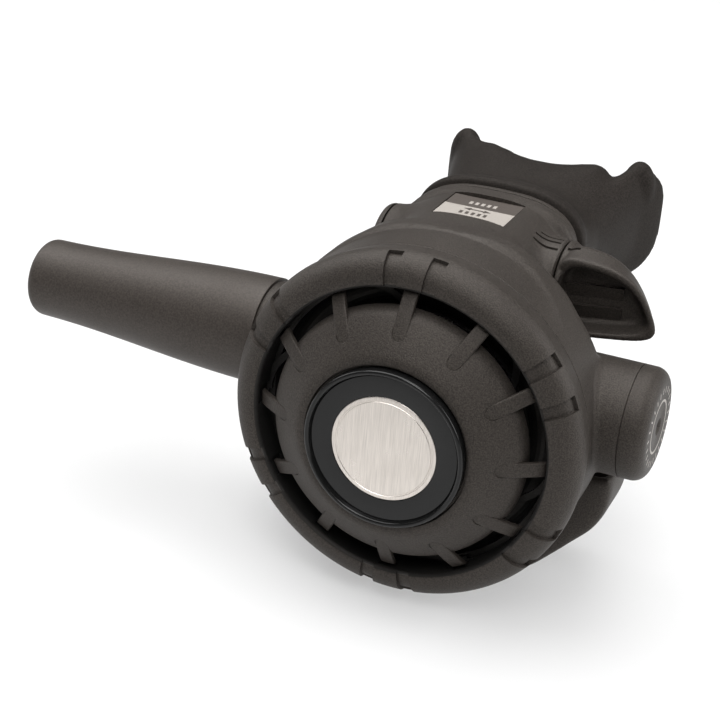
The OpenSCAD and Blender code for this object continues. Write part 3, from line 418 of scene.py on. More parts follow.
def join(made, others):
    """Puts the faces of other objects into one mesh."""
    work = bmesh.new()
    for part in [made, *others]:
        work.from_mesh(part.data)
    work.to_mesh(made.data)
    work.free()
    for part in others:
        drop(part)
    made.data.shade_smooth()
    return made


def cut(made, cutters):
    """Takes closed cutter shapes out of a piece, one after the other."""
    for cutter in cutters:
        work = made.modifiers.new("cut", "BOOLEAN")
        work.operation = "DIFFERENCE"
        work.solver = "EXACT"
        work.object = cutter
        apply_modifiers(made)
        drop(cutter)
    return made


def remesh(made, size):
    """Rebuilds a piece as one even skin."""
    work = made.modifiers.new("skin", "REMESH")
    work.mode = "VOXEL"
    work.voxel_size = size
    return apply_modifiers(made)


def relax(made, rounds):
    """Rounds the edges of an even skin a little."""
    work = made.modifiers.new("relax", "SMOOTH")
    work.factor = 0.5
    work.iterations = rounds
    return apply_modifiers(made)


def dress(made, finish, body, slot, *nodes):
    """Gives a piece its finish and its body, and hides the solids that it stands for; the slot is not used.
    """
    made.data.materials.clear()
    made.data.materials.append(FinishBook.get(finish))
    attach(made, body)
    if nodes:
        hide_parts(*nodes)
    return made


# Node trees that repeat a shape

def new_tree(name, sockets):
    """An empty geometry tree with named inputs and one geometry output."""
    tree = bpy.data.node_groups.new(name, "GeometryNodeTree")
    for label, kind in sockets:
        tree.interface.new_socket(label, in_out="INPUT", socket_type=kind)
    tree.interface.new_socket("Geometry", in_out="OUTPUT", socket_type="NodeSocketGeometry")
    return tree, tree.nodes.new("NodeGroupInput"), tree.nodes.new("NodeGroupOutput")


def link_all(tree, *pairs):
    """Links pairs of output and input sockets."""
    for out, into in pairs:
        tree.links.new(out, into)


def finish_tree(tree, geometry, given, out):
    """Realizes the copies, sets their material and ends the tree."""
    real = tree.nodes.new("GeometryNodeRealizeInstances")
    coat = tree.nodes.new("GeometryNodeSetMaterial")
    link_all(tree, (geometry, real.inputs["Geometry"]), (real.outputs[0], coat.inputs["Geometry"]),
             (given.outputs["Material"], coat.inputs["Material"]), (coat.outputs[0], out.inputs[0]))


def turned_copies_tree():
    """Copies of a shape, turned in equal steps about an axis through a centre."""
    tree, given, out = new_tree("turned_copies", [
        ("Shape", "NodeSocketObject"), ("Count", "NodeSocketInt"), ("Centre", "NodeSocketVector"),
        ("Axis", "NodeSocketVector"), ("Material", "NodeSocketMaterial")])
    points = tree.nodes.new("GeometryNodePoints")
    index = tree.nodes.new("GeometryNodeInputIndex")
    step = tree.nodes.new("ShaderNodeMath")
    step.operation = "DIVIDE"
    step.inputs[0].default_value = 2 * math.pi
    turn = tree.nodes.new("ShaderNodeMath")
    turn.operation = "MULTIPLY"
    about = tree.nodes.new("FunctionNodeAxisAngleToRotation")
    shape = tree.nodes.new("GeometryNodeObjectInfo")
    copies = tree.nodes.new("GeometryNodeInstanceOnPoints")
    link_all(tree, (given.outputs["Count"], points.inputs["Count"]),
             (given.outputs["Centre"], points.inputs["Position"]),
             (given.outputs["Count"], step.inputs[1]), (step.outputs[0], turn.inputs[0]),
             (index.outputs[0], turn.inputs[1]), (turn.outputs[0], about.inputs["Angle"]),
             (given.outputs["Axis"], about.inputs["Axis"]),
             (given.outputs["Shape"], shape.inputs["Object"]),
             (points.outputs[0], copies.inputs["Points"]),
             (shape.outputs["Geometry"], copies.inputs["Instance"]),
             (about.outputs[0], copies.inputs["Rotation"]))
    finish_tree(tree, copies.outputs[0], given, out)
    return tree


def line_copies_tree():
    """Copies of a shape, set in equal steps along a line."""
    tree, given, out = new_tree("line_copies", [
        ("Shape", "NodeSocketObject"), ("Count", "NodeSocketInt"), ("Step", "NodeSocketVector"),
        ("Material", "NodeSocketMaterial")])
    line = tree.nodes.new("GeometryNodeMeshLine")
    shape = tree.nodes.new("GeometryNodeObjectInfo")
    copies = tree.nodes.new("GeometryNodeInstanceOnPoints")
    link_all(tree, (given.outputs["Count"], line.inputs["Count"]),
             (given.outputs["Step"], line.inputs["Offset"]),
             (given.outputs["Shape"], shape.inputs["Object"]),
             (line.outputs[0], copies.inputs["Points"]),
             (shape.outputs["Geometry"], copies.inputs["Instance"]))
    finish_tree(tree, copies.outputs[0], given, out)
    return tree


def copies_of(name, shape, tree, **values):
    """Runs a tree over a shape, keeps the result as a plain mesh and removes the shape."""
    values["Shape"] = shape
    made = bpy.data.objects.new(name, bpy.data.meshes.new(name))
    bpy.context.scene.collection.objects.link(made)
    work = made.modifiers.new("copies", "NODES")
    work.node_group = tree
    for item in tree.interface.items_tree:
        if item.in_out == "INPUT":
            work[item.identifier] = values[item.name]
    apply_modifiers(made)
    finish_mesh(made.data)
    drop(shape)
    return made


# Finishes

def new_finish(name):
    """A material with only its shader and its output, and the place on the object."""
    finish = bpy.data.materials.new(name)
    finish.use_nodes = True
    nodes = finish.node_tree.nodes
    where = nodes.new("ShaderNodeTexCoord")
    return finish, nodes, finish.node_tree.links, nodes["Principled BSDF"], where.outputs["Object"]


def noise(nodes, links, where, size, detail=2.0, stretch=None):
    """Noise whose features are about size metres across."""
    made = nodes.new("ShaderNodeTexNoise")
    made.inputs["Scale"].default_value = 1.0 / size
    made.inputs["Detail"].default_value = detail
    if stretch:
        turn = nodes.new("ShaderNodeMapping")
        turn.inputs["Scale"].default_value = stretch
        links.new(where, turn.inputs["Vector"])
        where = turn.outputs[0]
    links.new(where, made.inputs["Vector"])
    return made.outputs["Fac"]


def spread(nodes, links, value, low, high, start=0.3, stop=0.7):
    """Maps a noise to a range."""
    made = nodes.new("ShaderNodeMapRange")
    made.inputs["From Min"].default_value = start
    made.inputs["From Max"].default_value = stop
    made.inputs["To Min"].default_value = low
    made.inputs["To Max"].default_value = high
    links.new(value, made.inputs["Value"])
    return made.outputs[0]


def combine(nodes, links, operation, one, two):
    """Two values put together by a sum, a product or the like."""
    made = nodes.new("ShaderNodeMath")
    made.operation = operation
    links.new(one, made.inputs[0])
    links.new(two, made.inputs[1])
    return made.outputs[0]


def two_tone(nodes, links, value, colour, low, high):
    """A colour that a noise makes darker and lighter."""
    made = nodes.new("ShaderNodeMix")
    made.data_type = "RGBA"
    made.inputs["A"].default_value = (*(c * low for c in colour), 1)
    made.inputs["B"].default_value = (*(c * high for c in colour), 1)
    links.new(value, made.inputs["Factor"])
    return made.outputs["Result"]


def bump(nodes, links, shader, height, depth, under=None):
    """A relief of the given depth in metres, on top of another relief if there is one."""
    made = nodes.new("ShaderNodeBump")
    made.inputs["Distance"].default_value = depth
    links.new(height, made.inputs["Height"])
    if under:
        links.new(under, made.inputs["Normal"])
    links.new(made.outputs[0], shader.inputs["Normal"])
    return made.outputs[0]


def grained(name, colour, rough=0.5, grain=0.32 * MM, depth=0.07 * MM, contrast=0.5, shine=0.35):
    """Moulded plastic or rubber with a fine spark-eroded grain and faintly worn patches."""
    finish, nodes, links, shader, where = new_finish(name)
    fine = noise(nodes, links, where, grain, 1.0)
    broad = noise(nodes, links, where, 18 * MM, 3.0)
    mottle = combine(nodes, links, "MULTIPLY", spread(nodes, links, fine, 0.0, 1.0),
                     spread(nodes, links, broad, 0.85, 1.0))
    links.new(two_tone(nodes, links, mottle, colour, 1 - contrast, 1 + contrast), shader.inputs["Base Color"])
    links.new(spread(nodes, links, broad, rough - 0.05, rough + 0.05), shader.inputs["Roughness"])
    bump(nodes, links, shader, fine, depth)
    shader.inputs["Specular IOR Level"].default_value = shine
    shader.inputs["Specular Tint"].default_value = (1.0, 0.92, 0.85, 1)
    return finish


def polished(name, colour, rough=0.16):
    """Smooth gloss with faint handling marks."""
    finish, nodes, links, shader, where = new_finish(name)
    haze = noise(nodes, links, where, 5 * MM, 4.0)
    links.new(spread(nodes, links, haze, rough * 0.7, rough * 1.5), shader.inputs["Roughness"])
    links.new(two_tone(nodes, links, haze, colour, 0.8, 1.2), shader.inputs["Base Color"])
    bump(nodes, links, shader, haze, 0.006 * MM)
    shader.inputs["Specular IOR Level"].default_value = 0.3
    return finish


def brushed(name, colour, stretch, rough=0.3):
    """Metal brushed one way."""
    finish, nodes, links, shader, where = new_finish(name)
    lines = noise(nodes, links, where, 1.0, 3.0, stretch)
    broad = noise(nodes, links, where, 6 * MM, 2.0)
    links.new(two_tone(nodes, links, spread(nodes, links, lines, 0.0, 1.0), colour, 0.80, 1.05),
              shader.inputs["Base Color"])
    links.new(spread(nodes, links, broad, rough - 0.05, rough + 0.08), shader.inputs["Roughness"])
    bump(nodes, links, shader, lines, 0.008 * MM)
    shader.inputs["Metallic"].default_value = 1.0
    shader.inputs["Anisotropic"].default_value = 0.4
    return finish


def printed(name, colour):
    """Flat ink with a little unevenness."""
    finish, nodes, links, shader, where = new_finish(name)
    speck = noise(nodes, links, where, 0.35 * MM, 3.0)
    links.new(two_tone(nodes, links, speck, colour, 0.85, 1.08), shader.inputs["Base Color"])
    links.new(spread(nodes, links, speck, 0.38, 0.55), shader.inputs["Roughness"])
    bump(nodes, links, shader, speck, 0.004 * MM)
    return finish


class FinishBook:
    """The finishes, made once and shared by the operators."""
    made = {}

    @classmethod
    def get(cls, name):
        """The finish of that name."""
        if not cls.made:
            cls.made = cls.fill(bpy.context.scene.regulator_finishes)
        return cls.made[name]

    @staticmethod
    def fill(tint):
        """Makes every finish."""
        even = (2500, 2500, 2500)
        return {
            "plastic": grained("grained_plastic", tint.plastic, 0.55),
            # Also the painted shade on the wall of the ring's mouth.
            "dark": grained("dark_plastic", tint.dark, 0.6, contrast=0.2),
            "rubber": grained("mouth_rubber", tint.rubber, 0.65, 0.4 * MM, 0.04 * MM, shine=0.18),
            "sleeve": grained("sleeve_rubber", tint.sleeve, 0.5, 0.45 * MM, 0.02 * MM, 0.3, 0.4),
            "membrane": grained("diaphragm_rubber", tint.dark, 0.5, 0.3 * MM, 0.02 * MM),
            "seal": grained("seal_rubber", tint.dark, 0.45, 0.2 * MM, 0.01 * MM),
            "gloss": polished("badge_gloss", tint.gloss),
            "silver": brushed("badge_silver", tint.silver, (9000, 9000, 160)),
            "steel": brushed("steel", tint.steel, even, 0.25),
            "brass": brushed("plated_brass", tint.brass, even, 0.28),
            "light": printed("light_print", tint.light_print),
            "ink": printed("dark_print", tint.dark_print),
        }


# Cover ring, purge button and badge

# The two ends of a steep wall, as shares of its width
WALL = np.array((-0.5, 0.5))


def ring_outline(size):
    """Outline of the cover ring as radius, depth, share of the notch and share of the pocket."""
    lip_r = size.mouth_r + size.lip_round
    nose = COVER_R - lip_r
    lip_end = size.lip_depth + size.lip_round
    pocket_top, step = lip_end + 0.2 * MM, 0.05 * MM
    points = [(size.mouth_r, depth, 0.0, 1.0) for depth in np.linspace(GUARD_DEPTH, pocket_top + step, 5)]
    points.append((size.mouth_r, pocket_top - step, 0.0, 0.0))
    for r, depth in arc(lip_r, lip_end, size.lip_round, 180, 270, 9)[:-1]:
        points.append((r, depth, float(smooth_step((r - size.mouth_r) / size.lip_round)), 0.0))
    stop, soft = -12.0, 0.3
    before, after = np.linspace(-90, stop - 4 * soft, 20), np.linspace(stop + 4 * soft, 0, 4)
    for turn in [*before, *(stop + soft * WALL), *after]:
        r, depth = arc(lip_r, size.lip_depth + nose, nose, turn, turn, 1)[0]
        points.append((r, depth, float(smooth_step((stop + soft / 2 - turn) / soft)), 0.0))
    edge, rear_r, inner = 0.4 * MM, COVER_R - size.taper, lip_r + 2.25 * MM
    rear = [(rear_r + 0.1 * edge, RING_BACK - 2 * edge)]
    rear += arc(rear_r - edge, RING_BACK - edge, edge, 4, 90, 5) + [(inner, RING_BACK), (inner, GUARD_DEPTH)]
    return points + [(r, depth, 0.0, 0.0) for r, depth in rear]


def wall_shares(angles, centres, half, soft):
    """For each angle, 1 inside any window of the given half width and 0 outside, with steep walls."""
    shares = []
    for turn in angles:
        off = min(abs((turn - centre + math.pi) % (2 * math.pi) - math.pi) for centre in centres)
        shares.append(float(smooth_step((half + soft / 2 - off) / soft)))
    return shares


def ring_windows(size):
    """Centres, half width and wall width of the grip notches and of the rib pockets, as angles."""
    first, steep, play = math.radians(30), 0.06 * MM, 0.3 * MM
    notches = [first + 2 * math.pi * i / size.notch_pairs + side * size.notch_spread / 2
               for i in range(size.notch_pairs) for side in (-1, 1)]
    pockets = [2 * math.pi * i / size.rib_count for i in range(size.rib_count)]
    return ((notches, size.notch_w / 2 / COVER_R, steep / COVER_R),
            (pockets, (size.rib_w / 2 + play) / size.mouth_r, steep / size.mouth_r))


def ring_angles(windows, even=180):
    """Even angles round the ring, and the two ends of every window's walls."""
    angles = list(np.linspace(0, 2 * math.pi, even, endpoint=False))
    for centres, half, soft in windows:
        angles += [centre + side * (half + soft * share)
                   for centre in centres for side in (-1, 1) for share in WALL]
    return sorted({round(a % (2 * math.pi), 5) for a in angles})


def ring_rows(size):
    """Rows of points round the ring, sunk at the notches and let out at the pockets."""
    windows = ring_windows(size)
    angles = ring_angles(windows)
    in_notch, in_pocket = (wall_shares(angles, *window) for window in windows)
    centre_r = size.mouth_r + size.lip_round
    centre_depth = size.lip_depth + COVER_R - centre_r
    rows = []
    for r, depth, notch_share, pocket_share in ring_outline(size):
        off_r, off_depth = r - centre_r, depth - centre_depth
        pull = size.notch_deep * notch_share / math.hypot(off_r, off_depth)
        push = size.pocket_deep * pocket_share
        rows.append([cover_point(r - off_r * pull * n + push * p, turn, depth - off_depth * pull * n)
                     for turn, n, p in zip(angles, in_notch, in_pocket)])
    return rows


def paint_mouth_shade(ring, size):
    """Paints shade on the wall of the ring's mouth: faces behind the lip, where shadow falls, get the
    near-black finish instead of the grained plastic.
    """
    ring.data.materials.append(FinishBook.get("dark"))
    wall_r = size.mouth_r + 0.7 * size.lip_round
    # Painted shade: faces on the mouth wall behind the lip take the near-black finish.
    for face in ring.data.polygons:
        r = math.hypot(face.center.x - COVER_X, face.center.z - COVER_Z)
        if r < wall_r and face.center.y - FACE_Y > size.lip_depth:
            face.material_index = 1


class REGULATOR_OT_cover_ring(Operator):
    """Build the cover ring with its grip notches and rib pockets"""
    bl_idname = "regulator.cover_ring"
    bl_label = "Cover Ring"

    def execute(self, context):
        size = context.scene.regulator_cover
        ring = loft("grip_ring", ring_rows(size), sharp=50)
        dress(ring, "plastic", "case", "ring_plastic", "cover_ring")
        # Painted shade on the shadowed wall of the mouth.
        paint_mouth_shade(ring, size)
        return {"FINISHED"}


def dome_depth(size, r):
    """Depth of the dome's surface at a radius."""
    seat_r, shoulder_w, shoulder_drop = size.bezel_r + BADGE_LEDGE, 2.6 * MM, 0.9 * MM
    centre = size.dome_start + math.sqrt(size.dome_r ** 2 - seat_r ** 2)
    shoulder = max(0.0, 1 - (r - seat_r) / shoulder_w) ** 2
    return centre - math.sqrt(size.dome_r ** 2 - r ** 2) + shoulder_drop * shoulder


def rib_top(size, r):
    """Depth of a rib's top at a radius: just under the dome where it starts, and flatter than the dome."""
    centre = dome_depth(size, size.rib_start) + math.sqrt(size.rib_sphere ** 2 - size.rib_start ** 2)
    return centre - math.sqrt(size.rib_sphere ** 2 - r ** 2) + size.rib_sink


def rib_shape(size):
    """One rib along +X from the cover axis, with round edges, thin enough to clear the guard when pressed."""
    half, edge, lead, root, room = size.rib_w / 2, 0.4 * MM, 0.4 * MM, 1.5 * MM, 0.2 * MM
    thick = size.rib_t - size.rib_sink - room
    section = ([(-half, thick), (-half, 2 * edge)] + arc(-half + edge, edge, edge, 180, 270, 5)
               + arc(half - edge, edge, edge, 270, 360, 5) + [(half, 2 * edge), (half, thick)])
    stations = np.linspace(size.rib_start - root, size.rib_end - lead, 16)
    rows = []
    for r in [*stations, size.rib_end - 0.3 * lead, size.rib_end]:
        sink = max(0.0, r - size.rib_end + lead)
        depth = rib_top(size, r) + 0.6 * sink
        rows.append([(r, depth + down, x * (1 - 0.15 * sink / MM)) for x, down in section])
    return loft("rib_shape", rows, capped=True)


def rib_slot(size):
    """Cutter along +X that opens the dome above one rib, with a round inner end."""
    half, under = size.rib_w / 2 - 0.05 * MM, 0.6 * MM
    ends = arc(size.rib_start + half, 0, half, 90, 270, 13) + [(size.rib_end, -half), (size.rib_end, half)]
    top = [(r, 0.0, z) for r, z in ends]
    floor = [(r, rib_top(size, max(r, size.rib_start)) + under, z) for r, z in ends]
    return loft("rib_slot", [top, floor], capped=True)


def dome_outline(size):
    """Outline of the dome, its skirt and its stem as radius and depth."""
    wall, edge_round, hollow_r = 2 * MM, 5 * MM, 18 * MM
    seat_r, edge_r, floor = size.bezel_r + BADGE_LEDGE, size.button_r, BADGE_SEAT + wall
    start_r = edge_r - edge_round * (1 - (edge_r - 1.8 * MM) / size.dome_r)
    lean = math.degrees(math.asin(start_r / size.dome_r))
    turn_r = start_r - edge_round * start_r / size.dome_r
    turn_depth = dome_depth(size, start_r) + edge_round * math.cos(math.radians(lean))
    skirt = turn_depth + 0.4 * MM
    stem_r, stem_end = 6 * MM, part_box("diaphragm_plate")[0].y - FACE_Y - 0.3 * MM
    bore_r = 0.6 * stem_r
    lip = [(0, BADGE_SEAT), (seat_r - 0.3 * MM, BADGE_SEAT),
           (seat_r - 0.1 * MM, dome_depth(size, seat_r) + 0.2 * MM)]
    outside = [(r, dome_depth(size, r)) for r in np.linspace(seat_r, start_r, 26)[:-1]]
    rim = arc(turn_r, turn_depth, edge_round, lean - 90, 0, 10)
    edge_r = rim[-1][0]
    rim += [(edge_r, skirt), (edge_r - wall, skirt)]
    inside = [(r, max(dome_depth(size, r) + wall, floor)) for r in np.linspace(edge_r - wall, hollow_r, 10)]
    stem = [(stem_r, floor), (stem_r, stem_end), (bore_r, stem_end), (bore_r, floor), (0, floor)]
    return lip + outside + rim + inside + stem


class REGULATOR_OT_purge_button(Operator):
    """Build the domed purge button and its ribs"""
    bl_idname = "regulator.purge_button"
    bl_label = "Purge Button"

    def execute(self, context):
        size = context.scene.regulator_cover
        around = {"Count": size.rib_count, "Centre": (COVER_X, FACE_Y, COVER_Z), "Axis": (0, 1, 0),
                  "Material": FinishBook.get("plastic")}
        dome = revolve("purge_dome", dome_outline(size), cover_point, 160)
        cut(dome, [copies_of("rib_slots", rib_slot(size), turned_copies_tree(), **around)])
        finish_mesh(dome.data, 40)
        dress(dome, "plastic", "purge_button", "ring_plastic", "purge_button")
        ribs = copies_of("purge_ribs", rib_shape(size), turned_copies_tree(), **around)
        dress(ribs, "plastic", "purge_button", "ring_plastic")
        return {"FINISHED"}


def bezel_outline(size):
    """Outline of the badge's black body: the disc's well, a flat face and a round raised rim."""
    width, ease, floor = 1.2 * MM, 0.15 * MM, DISC_DEPTH + DISC_T
    well, inner = size.disc_r + 0.05 * MM, size.bezel_r - 1.45 * MM
    return ([(0, BADGE_SEAT), (0, floor), (well, floor), (well, DISC_DEPTH + ease)]
            + arc(well + ease, DISC_DEPTH + ease, ease, 180, 270, 4)
            + [(inner - ease, DISC_DEPTH), (inner, DISC_DEPTH + 0.2 * MM)]
            + arc(size.bezel_r - width / 2, 0.1 * MM, width / 2, 180, 360, 17)
            + [(size.bezel_r, BADGE_SEAT - ease), (size.bezel_r - ease, BADGE_SEAT)])


def disc_outline(size):
    """Outline of the bare disc, with a fine groove inside its edge."""
    edge, groove, groove_r = 0.18 * MM, 0.1 * MM, size.disc_r - 1.1 * MM
    bottom, sunk = DISC_DEPTH + DISC_T - 0.02 * MM, DISC_DEPTH + groove
    return ([(0, DISC_DEPTH), (groove_r - 2.2 * groove, DISC_DEPTH), (groove_r - 1.4 * groove, sunk),
             (groove_r + 1.4 * groove, sunk), (groove_r + 2.2 * groove, DISC_DEPTH)]
            + arc(size.disc_r - edge, DISC_DEPTH + edge, edge, 270, 360, 6)
            + [(size.disc_r, bottom), (0, bottom)])


class REGULATOR_OT_badge(Operator):
    """Build the polished badge rim and the bare brushed disc"""
    bl_idname = "regulator.badge"
    bl_label = "Badge"

    def execute(self, context):
        size = context.scene.regulator_cover
        bezel = revolve("badge_rim", bezel_outline(size), cover_point, 160)
        dress(bezel, "gloss", "purge_button", "badge_black", "badge_bezel")
        disc = revolve("badge_plate", disc_outline(size), cover_point, 128, sharp=25)
        dress(disc, "silver", "purge_button", "badge_silver", "badge_disc")
        return {"FINISHED"}


# Case

def blend_union(one, two, reach):
    """Joins two distance fields with a smooth fillet."""
    share = np.clip(0.5 + 0.5 * (two - one) / reach, 0, 1)
    return two + (one - two) * share - reach * share * (1 - share)


def neck_width(size, depth):
    """Half width of the neck at a depth: it flares into the case and widens again at its end."""
    end, root, collar, ease = NECK_END - FACE_Y, size.back_depth - 1.3 * MM, 5 * MM, 3 * MM
    reach = np.clip((size.flare_depth - depth) / (size.flare_depth - root), 0, 1)
    flare = size.flare * (1 - np.sqrt(1 - reach ** 2))
    widen = smooth_step((depth - end + collar) / ease)
    return size.neck_waist + flare + (size.neck_a - size.neck_waist) * widen


def drum_field(size, x, up, depth):
    """Distance to the round shell behind the ring."""
    inset = size.back_round
    middle, half = (DRUM_FRONT + size.back_depth) / 2, (size.back_depth - DRUM_FRONT) / 2
    out = np.hypot(x, up) - (size.rim_r - inset)
    along = np.abs(depth - middle) - (half - inset)
    return np.hypot(np.maximum(out, 0), np.maximum(along, 0)) + np.minimum(np.maximum(out, along), 0) - inset


def neck_field(size, x, rise, depth):
    """Distance to the oval neck, about right near its skin."""
    a, b = neck_width(size, depth), size.neck_b
    square = size.neck_square
    u, v = np.abs(x) / a, np.abs(rise) / b
    scaled = np.maximum((u ** square + v ** square) ** (1 / square), 1e-6)
    slope = np.hypot((u / scaled) ** (square - 1) / a, (v / scaled) ** (square - 1) / b)
    return np.maximum((scaled - 1) / np.maximum(slope, 1e-6), size.back_depth - 6 * MM - depth)


def case_field(size, points):
    """Distance to the moulded outside of the case, blended where its forms meet."""
    x, y, z = points[:, 0] - COVER_X, points[:, 1], points[:, 2]
    depth, rise = y - FACE_Y, z - NECK_Z
    crisp, above, fall = 1.4 * MM, 2 * MM, 10 * MM
    cap_fillet, lever_fillet, boss_fillet = 5 * MM, 2.2 * MM, 1.6 * MM
    reach = size.blend + (crisp - size.blend) * smooth_step((rise - above) / fall)
    body = blend_union(drum_field(size, x, z - COVER_Z, depth), neck_field(size, x, rise, depth), reach)
    hub = np.maximum(np.hypot(y - PIVOT_Y, rise) - size.hub_r, np.abs(x) - HUB_END)
    body = blend_union(body, hub, np.where(x < 0, cap_fillet, lever_fillet))
    return blend_union(body, np.hypot(y, z) - size.boss_r, boss_fillet)


def settle(made, field, rounds=8):
    """Moves the points of a skin onto the zero level of a distance field."""
    mesh = made.data
    points = np.zeros(len(mesh.vertices) * 3)
    mesh.vertices.foreach_get("co", points)
    points = points.reshape(-1, 3)
    step = 0.02 * MM
    for _ in range(rounds):
        value = field(points)
        slope = np.stack([(field(points + step * unit) - field(points - step * unit)) / (2 * step)
                          for unit in np.eye(3)], axis=1)
        steepness = np.maximum((slope ** 2).sum(axis=1), 0.2)
        points -= np.clip(value / steepness, -MM, MM)[:, None] * slope
    mesh.vertices.foreach_set("co", points.ravel())
    mesh.update()


def case_forms(size):
    """The plain forms that the case is blended from, in one mesh."""
    rear = arc(size.rim_r - size.back_round, size.back_depth - size.back_round, size.back_round, 0, 90, 9)
    drum = [(0, DRUM_FRONT), (size.rim_r, DRUM_FRONT)] + rear + [(0, size.back_depth)]
    stations = np.linspace(RING_BACK + 6 * MM, NECK_END - FACE_Y + 3 * MM, 60)
    neck = [[(x, FACE_Y + d, z) for x, z in oval(float(neck_width(size, d)), size.neck_b, COVER_X, NECK_Z)]
            for d in stations]
    return join(revolve("case_shell", drum, cover_point), [
        loft("neck", neck, capped=True),
        bar("boss", oval(size.boss_r, size.boss_r, 0, 0), NUT_END - 2 * MM, CAP_SEAT + 3 * MM, "X"),
        bar("hub", oval(size.hub_r, size.hub_r, PIVOT_Y, NECK_Z), COVER_X - HUB_END, COVER_X + HUB_END, "X"),
    ])


def hub_seat(size, side):
    """Cutter that leaves a flat hub face with a fine chamfer, and room for what turns on it."""
    near, step, room = size.hub_r - 0.4 * MM, 0.45 * MM, 13.6 * MM
    groove, ledge, end = size.hub_r + 0.3 * MM, HUB_FACE + 0.1 * MM, HUB_FACE + 10 * MM
    outline = [(0, HUB_FACE), (near, HUB_FACE), (near + step, HUB_FACE - step), (groove, HUB_FACE - step),
               (groove, ledge), (room, ledge), (room, end), (0, end)]
    return revolve("hub_seat", [(r, side * x) for r, x in outline], pivot_point, 96)


def index_groove(off, rise, start, stop, half=0.35 * MM):
    """Cutter for a narrow groove along X, at a distance behind and above the lever axis."""
    y, floor = PIVOT_Y + off, NECK_Z + rise - 0.5 * MM
    return bar("index_groove", rectangle(y - half, floor, y + half, floor + 8 * MM),
               COVER_X + start, COVER_X + stop, "X")


def case_cutters(size):
    """What is taken out of the blended case: its flat ends, hollows, seats, window and marks."""
    back = FACE_Y + size.back_depth
    window_y, floor = PIVOT_Y - size.window_len / 2 - 0.9 * MM, NECK_Z + size.window_floor
    half, seam, wall = size.window_w / 2, 0.35 * MM, 2.6 * MM
    chamfer = [(size.rim_r - seam, RING_BACK), (size.rim_r + 2 * seam, RING_BACK + 3 * seam),
               (size.rim_r + 2 * seam, RING_BACK - MM), (size.rim_r - seam, RING_BACK - MM)]
    return [
        bar("front", oval(FAR, FAR, COVER_X, COVER_Z), FACE_Y, FACE_Y + RING_BACK + 0.05 * MM, "Y"),
        bar("left", oval(FAR, FAR, 0, 0, 8), -FAR, NUT_END + 0.45 * MM, "X"),
        bar("right", oval(FAR, FAR, 0, 0, 8), CAP_SEAT, CAP_SEAT + FAR, "X"),
        bar("neck_end", oval(FAR, FAR, COVER_X, NECK_Z, 8), NECK_END, FAR, "Y"),
        revolve("chamfer", chamfer, cover_point, 192),
        hub_seat(size, 1), hub_seat(size, -1),
        bar("chamber", oval(CHAMBER_R, CHAMBER_R, COVER_X, COVER_Z), FACE_Y + 16 * MM, back - wall, "Y"),
        bar("air_way", oval(*AIR_WAY, COVER_X, NECK_Z), back - wall - MM, FAR, "Y"),
        bar("barrel", oval(BARREL_R, BARREL_R, 0, 0), 0.0, FAR, "X"),
        bar("shaft", oval(SHAFT_R, SHAFT_R, PIVOT_Y, NECK_Z, 32), 0.0, FAR, "X"),
        bar("window", rectangle(COVER_X - half, floor, COVER_X + half, floor + FAR),
            window_y, window_y + size.window_len, "Y"),
        index_groove(-4 * MM, 9.4 * MM, 14.9 * MM, 21.1 * MM),
        index_groove(-1.5 * MM, 10.1 * MM, 14.6 * MM, 21.1 * MM),
        index_groove(0.5 * MM, 10.2 * MM, 15.3 * MM, 21.1 * MM, 0.25 * MM),
    ]


def spigot():
    """The thin end of the neck that the mouthpiece is pushed over."""
    tube = bar("spigot", oval(*SPIGOT, COVER_X, NECK_Z), NECK_END - MM, NECK_END + 10 * MM, "Y")
    return cut(tube, [bar("bore", oval(*AIR_WAY, COVER_X, NECK_Z), 0.0, FAR, "Y")])


class REGULATOR_OT_case(Operator):
    """Build the moulded case with its neck, bosses, label window and index marks"""
    bl_idname = "regulator.case"
    bl_label = "Case"

    def execute(self, context):
        size = context.scene.regulator_case
        shell = case_forms(size)
        remesh(shell, size.voxel)
        settle(shell, lambda points: case_field(size, points))
        cut(shell, case_cutters(size))
        join(shell, [spigot()])
        finish_mesh(shell.data, 30)
        dress(shell, "plastic", "case", "case_plastic", "case")
        return {"FINISHED"}


# Hose sleeve and end cap

def sleeve_outline():
    """Outline of the hose sleeve: bore, round end, a swell in an even curve and the nut's pocket."""
    low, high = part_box("hose_sleeve")
    big_r, end = (high.z - low.z) / 2, high.x
    small_r, bore_r, round_r = 10 * MM, 6.5 * MM, 2.5 * MM
    lead, lip, pocket_r, pocket_x = 0.7 * MM, 0.25 * MM, 9.35 * MM, 48 * MM
    swell = [(small_r + (big_r - small_r) * (1 - math.cos(math.pi * share)) / 2, end * share)
             for share in np.linspace(0.08, 0.94, 24)]
    return ([(bore_r, 3 * MM)] + arc(bore_r + lead, lead, lead, 180, 270, 5)
            + arc(small_r - round_r, round_r, round_r, -90, -4, 14) + swell
            + arc(big_r - lip, end - lip, lip, 0, 90, 6)
            + [(pocket_r, end), (pocket_r, pocket_x), (bore_r, pocket_x - 2 * MM)])


class REGULATOR_OT_sleeve(Operator):
    """Build the hose sleeve with its round end and bore"""
    bl_idname = "regulator.sleeve"
    bl_label = "Hose Sleeve"

    def execute(self, context):
        sleeve = revolve("hose_boot", sleeve_outline(), barrel_point, 128)
        dress(sleeve, "sleeve", "case", "sleeve_rubber", "hose_sleeve")
        return {"FINISHED"}


def cap_outline(size):
    """Outline of the end cap, with a fine edge at its seat, a round end and a chamfered hole."""
    low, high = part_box("end_cap")
    end, r, hole, plug_r = high.x, (high.z - low.z) / 2, 1.5 * MM, 9.3 * MM
    edge, ease, chamfer = size.cap_round, 0.35 * MM, 0.6 * MM
    return ([(hole, low.x), (plug_r, low.x), (plug_r, CAP_SEAT)]
            + arc(r - ease, CAP_SEAT + ease, ease, 270, 360, 5)
            + arc(r - edge, end - edge, edge, 0, 90, 16)
            + [(hole + 1.2 * chamfer, end), (hole + chamfer, end - 0.1 * chamfer), (hole, end - chamfer)])


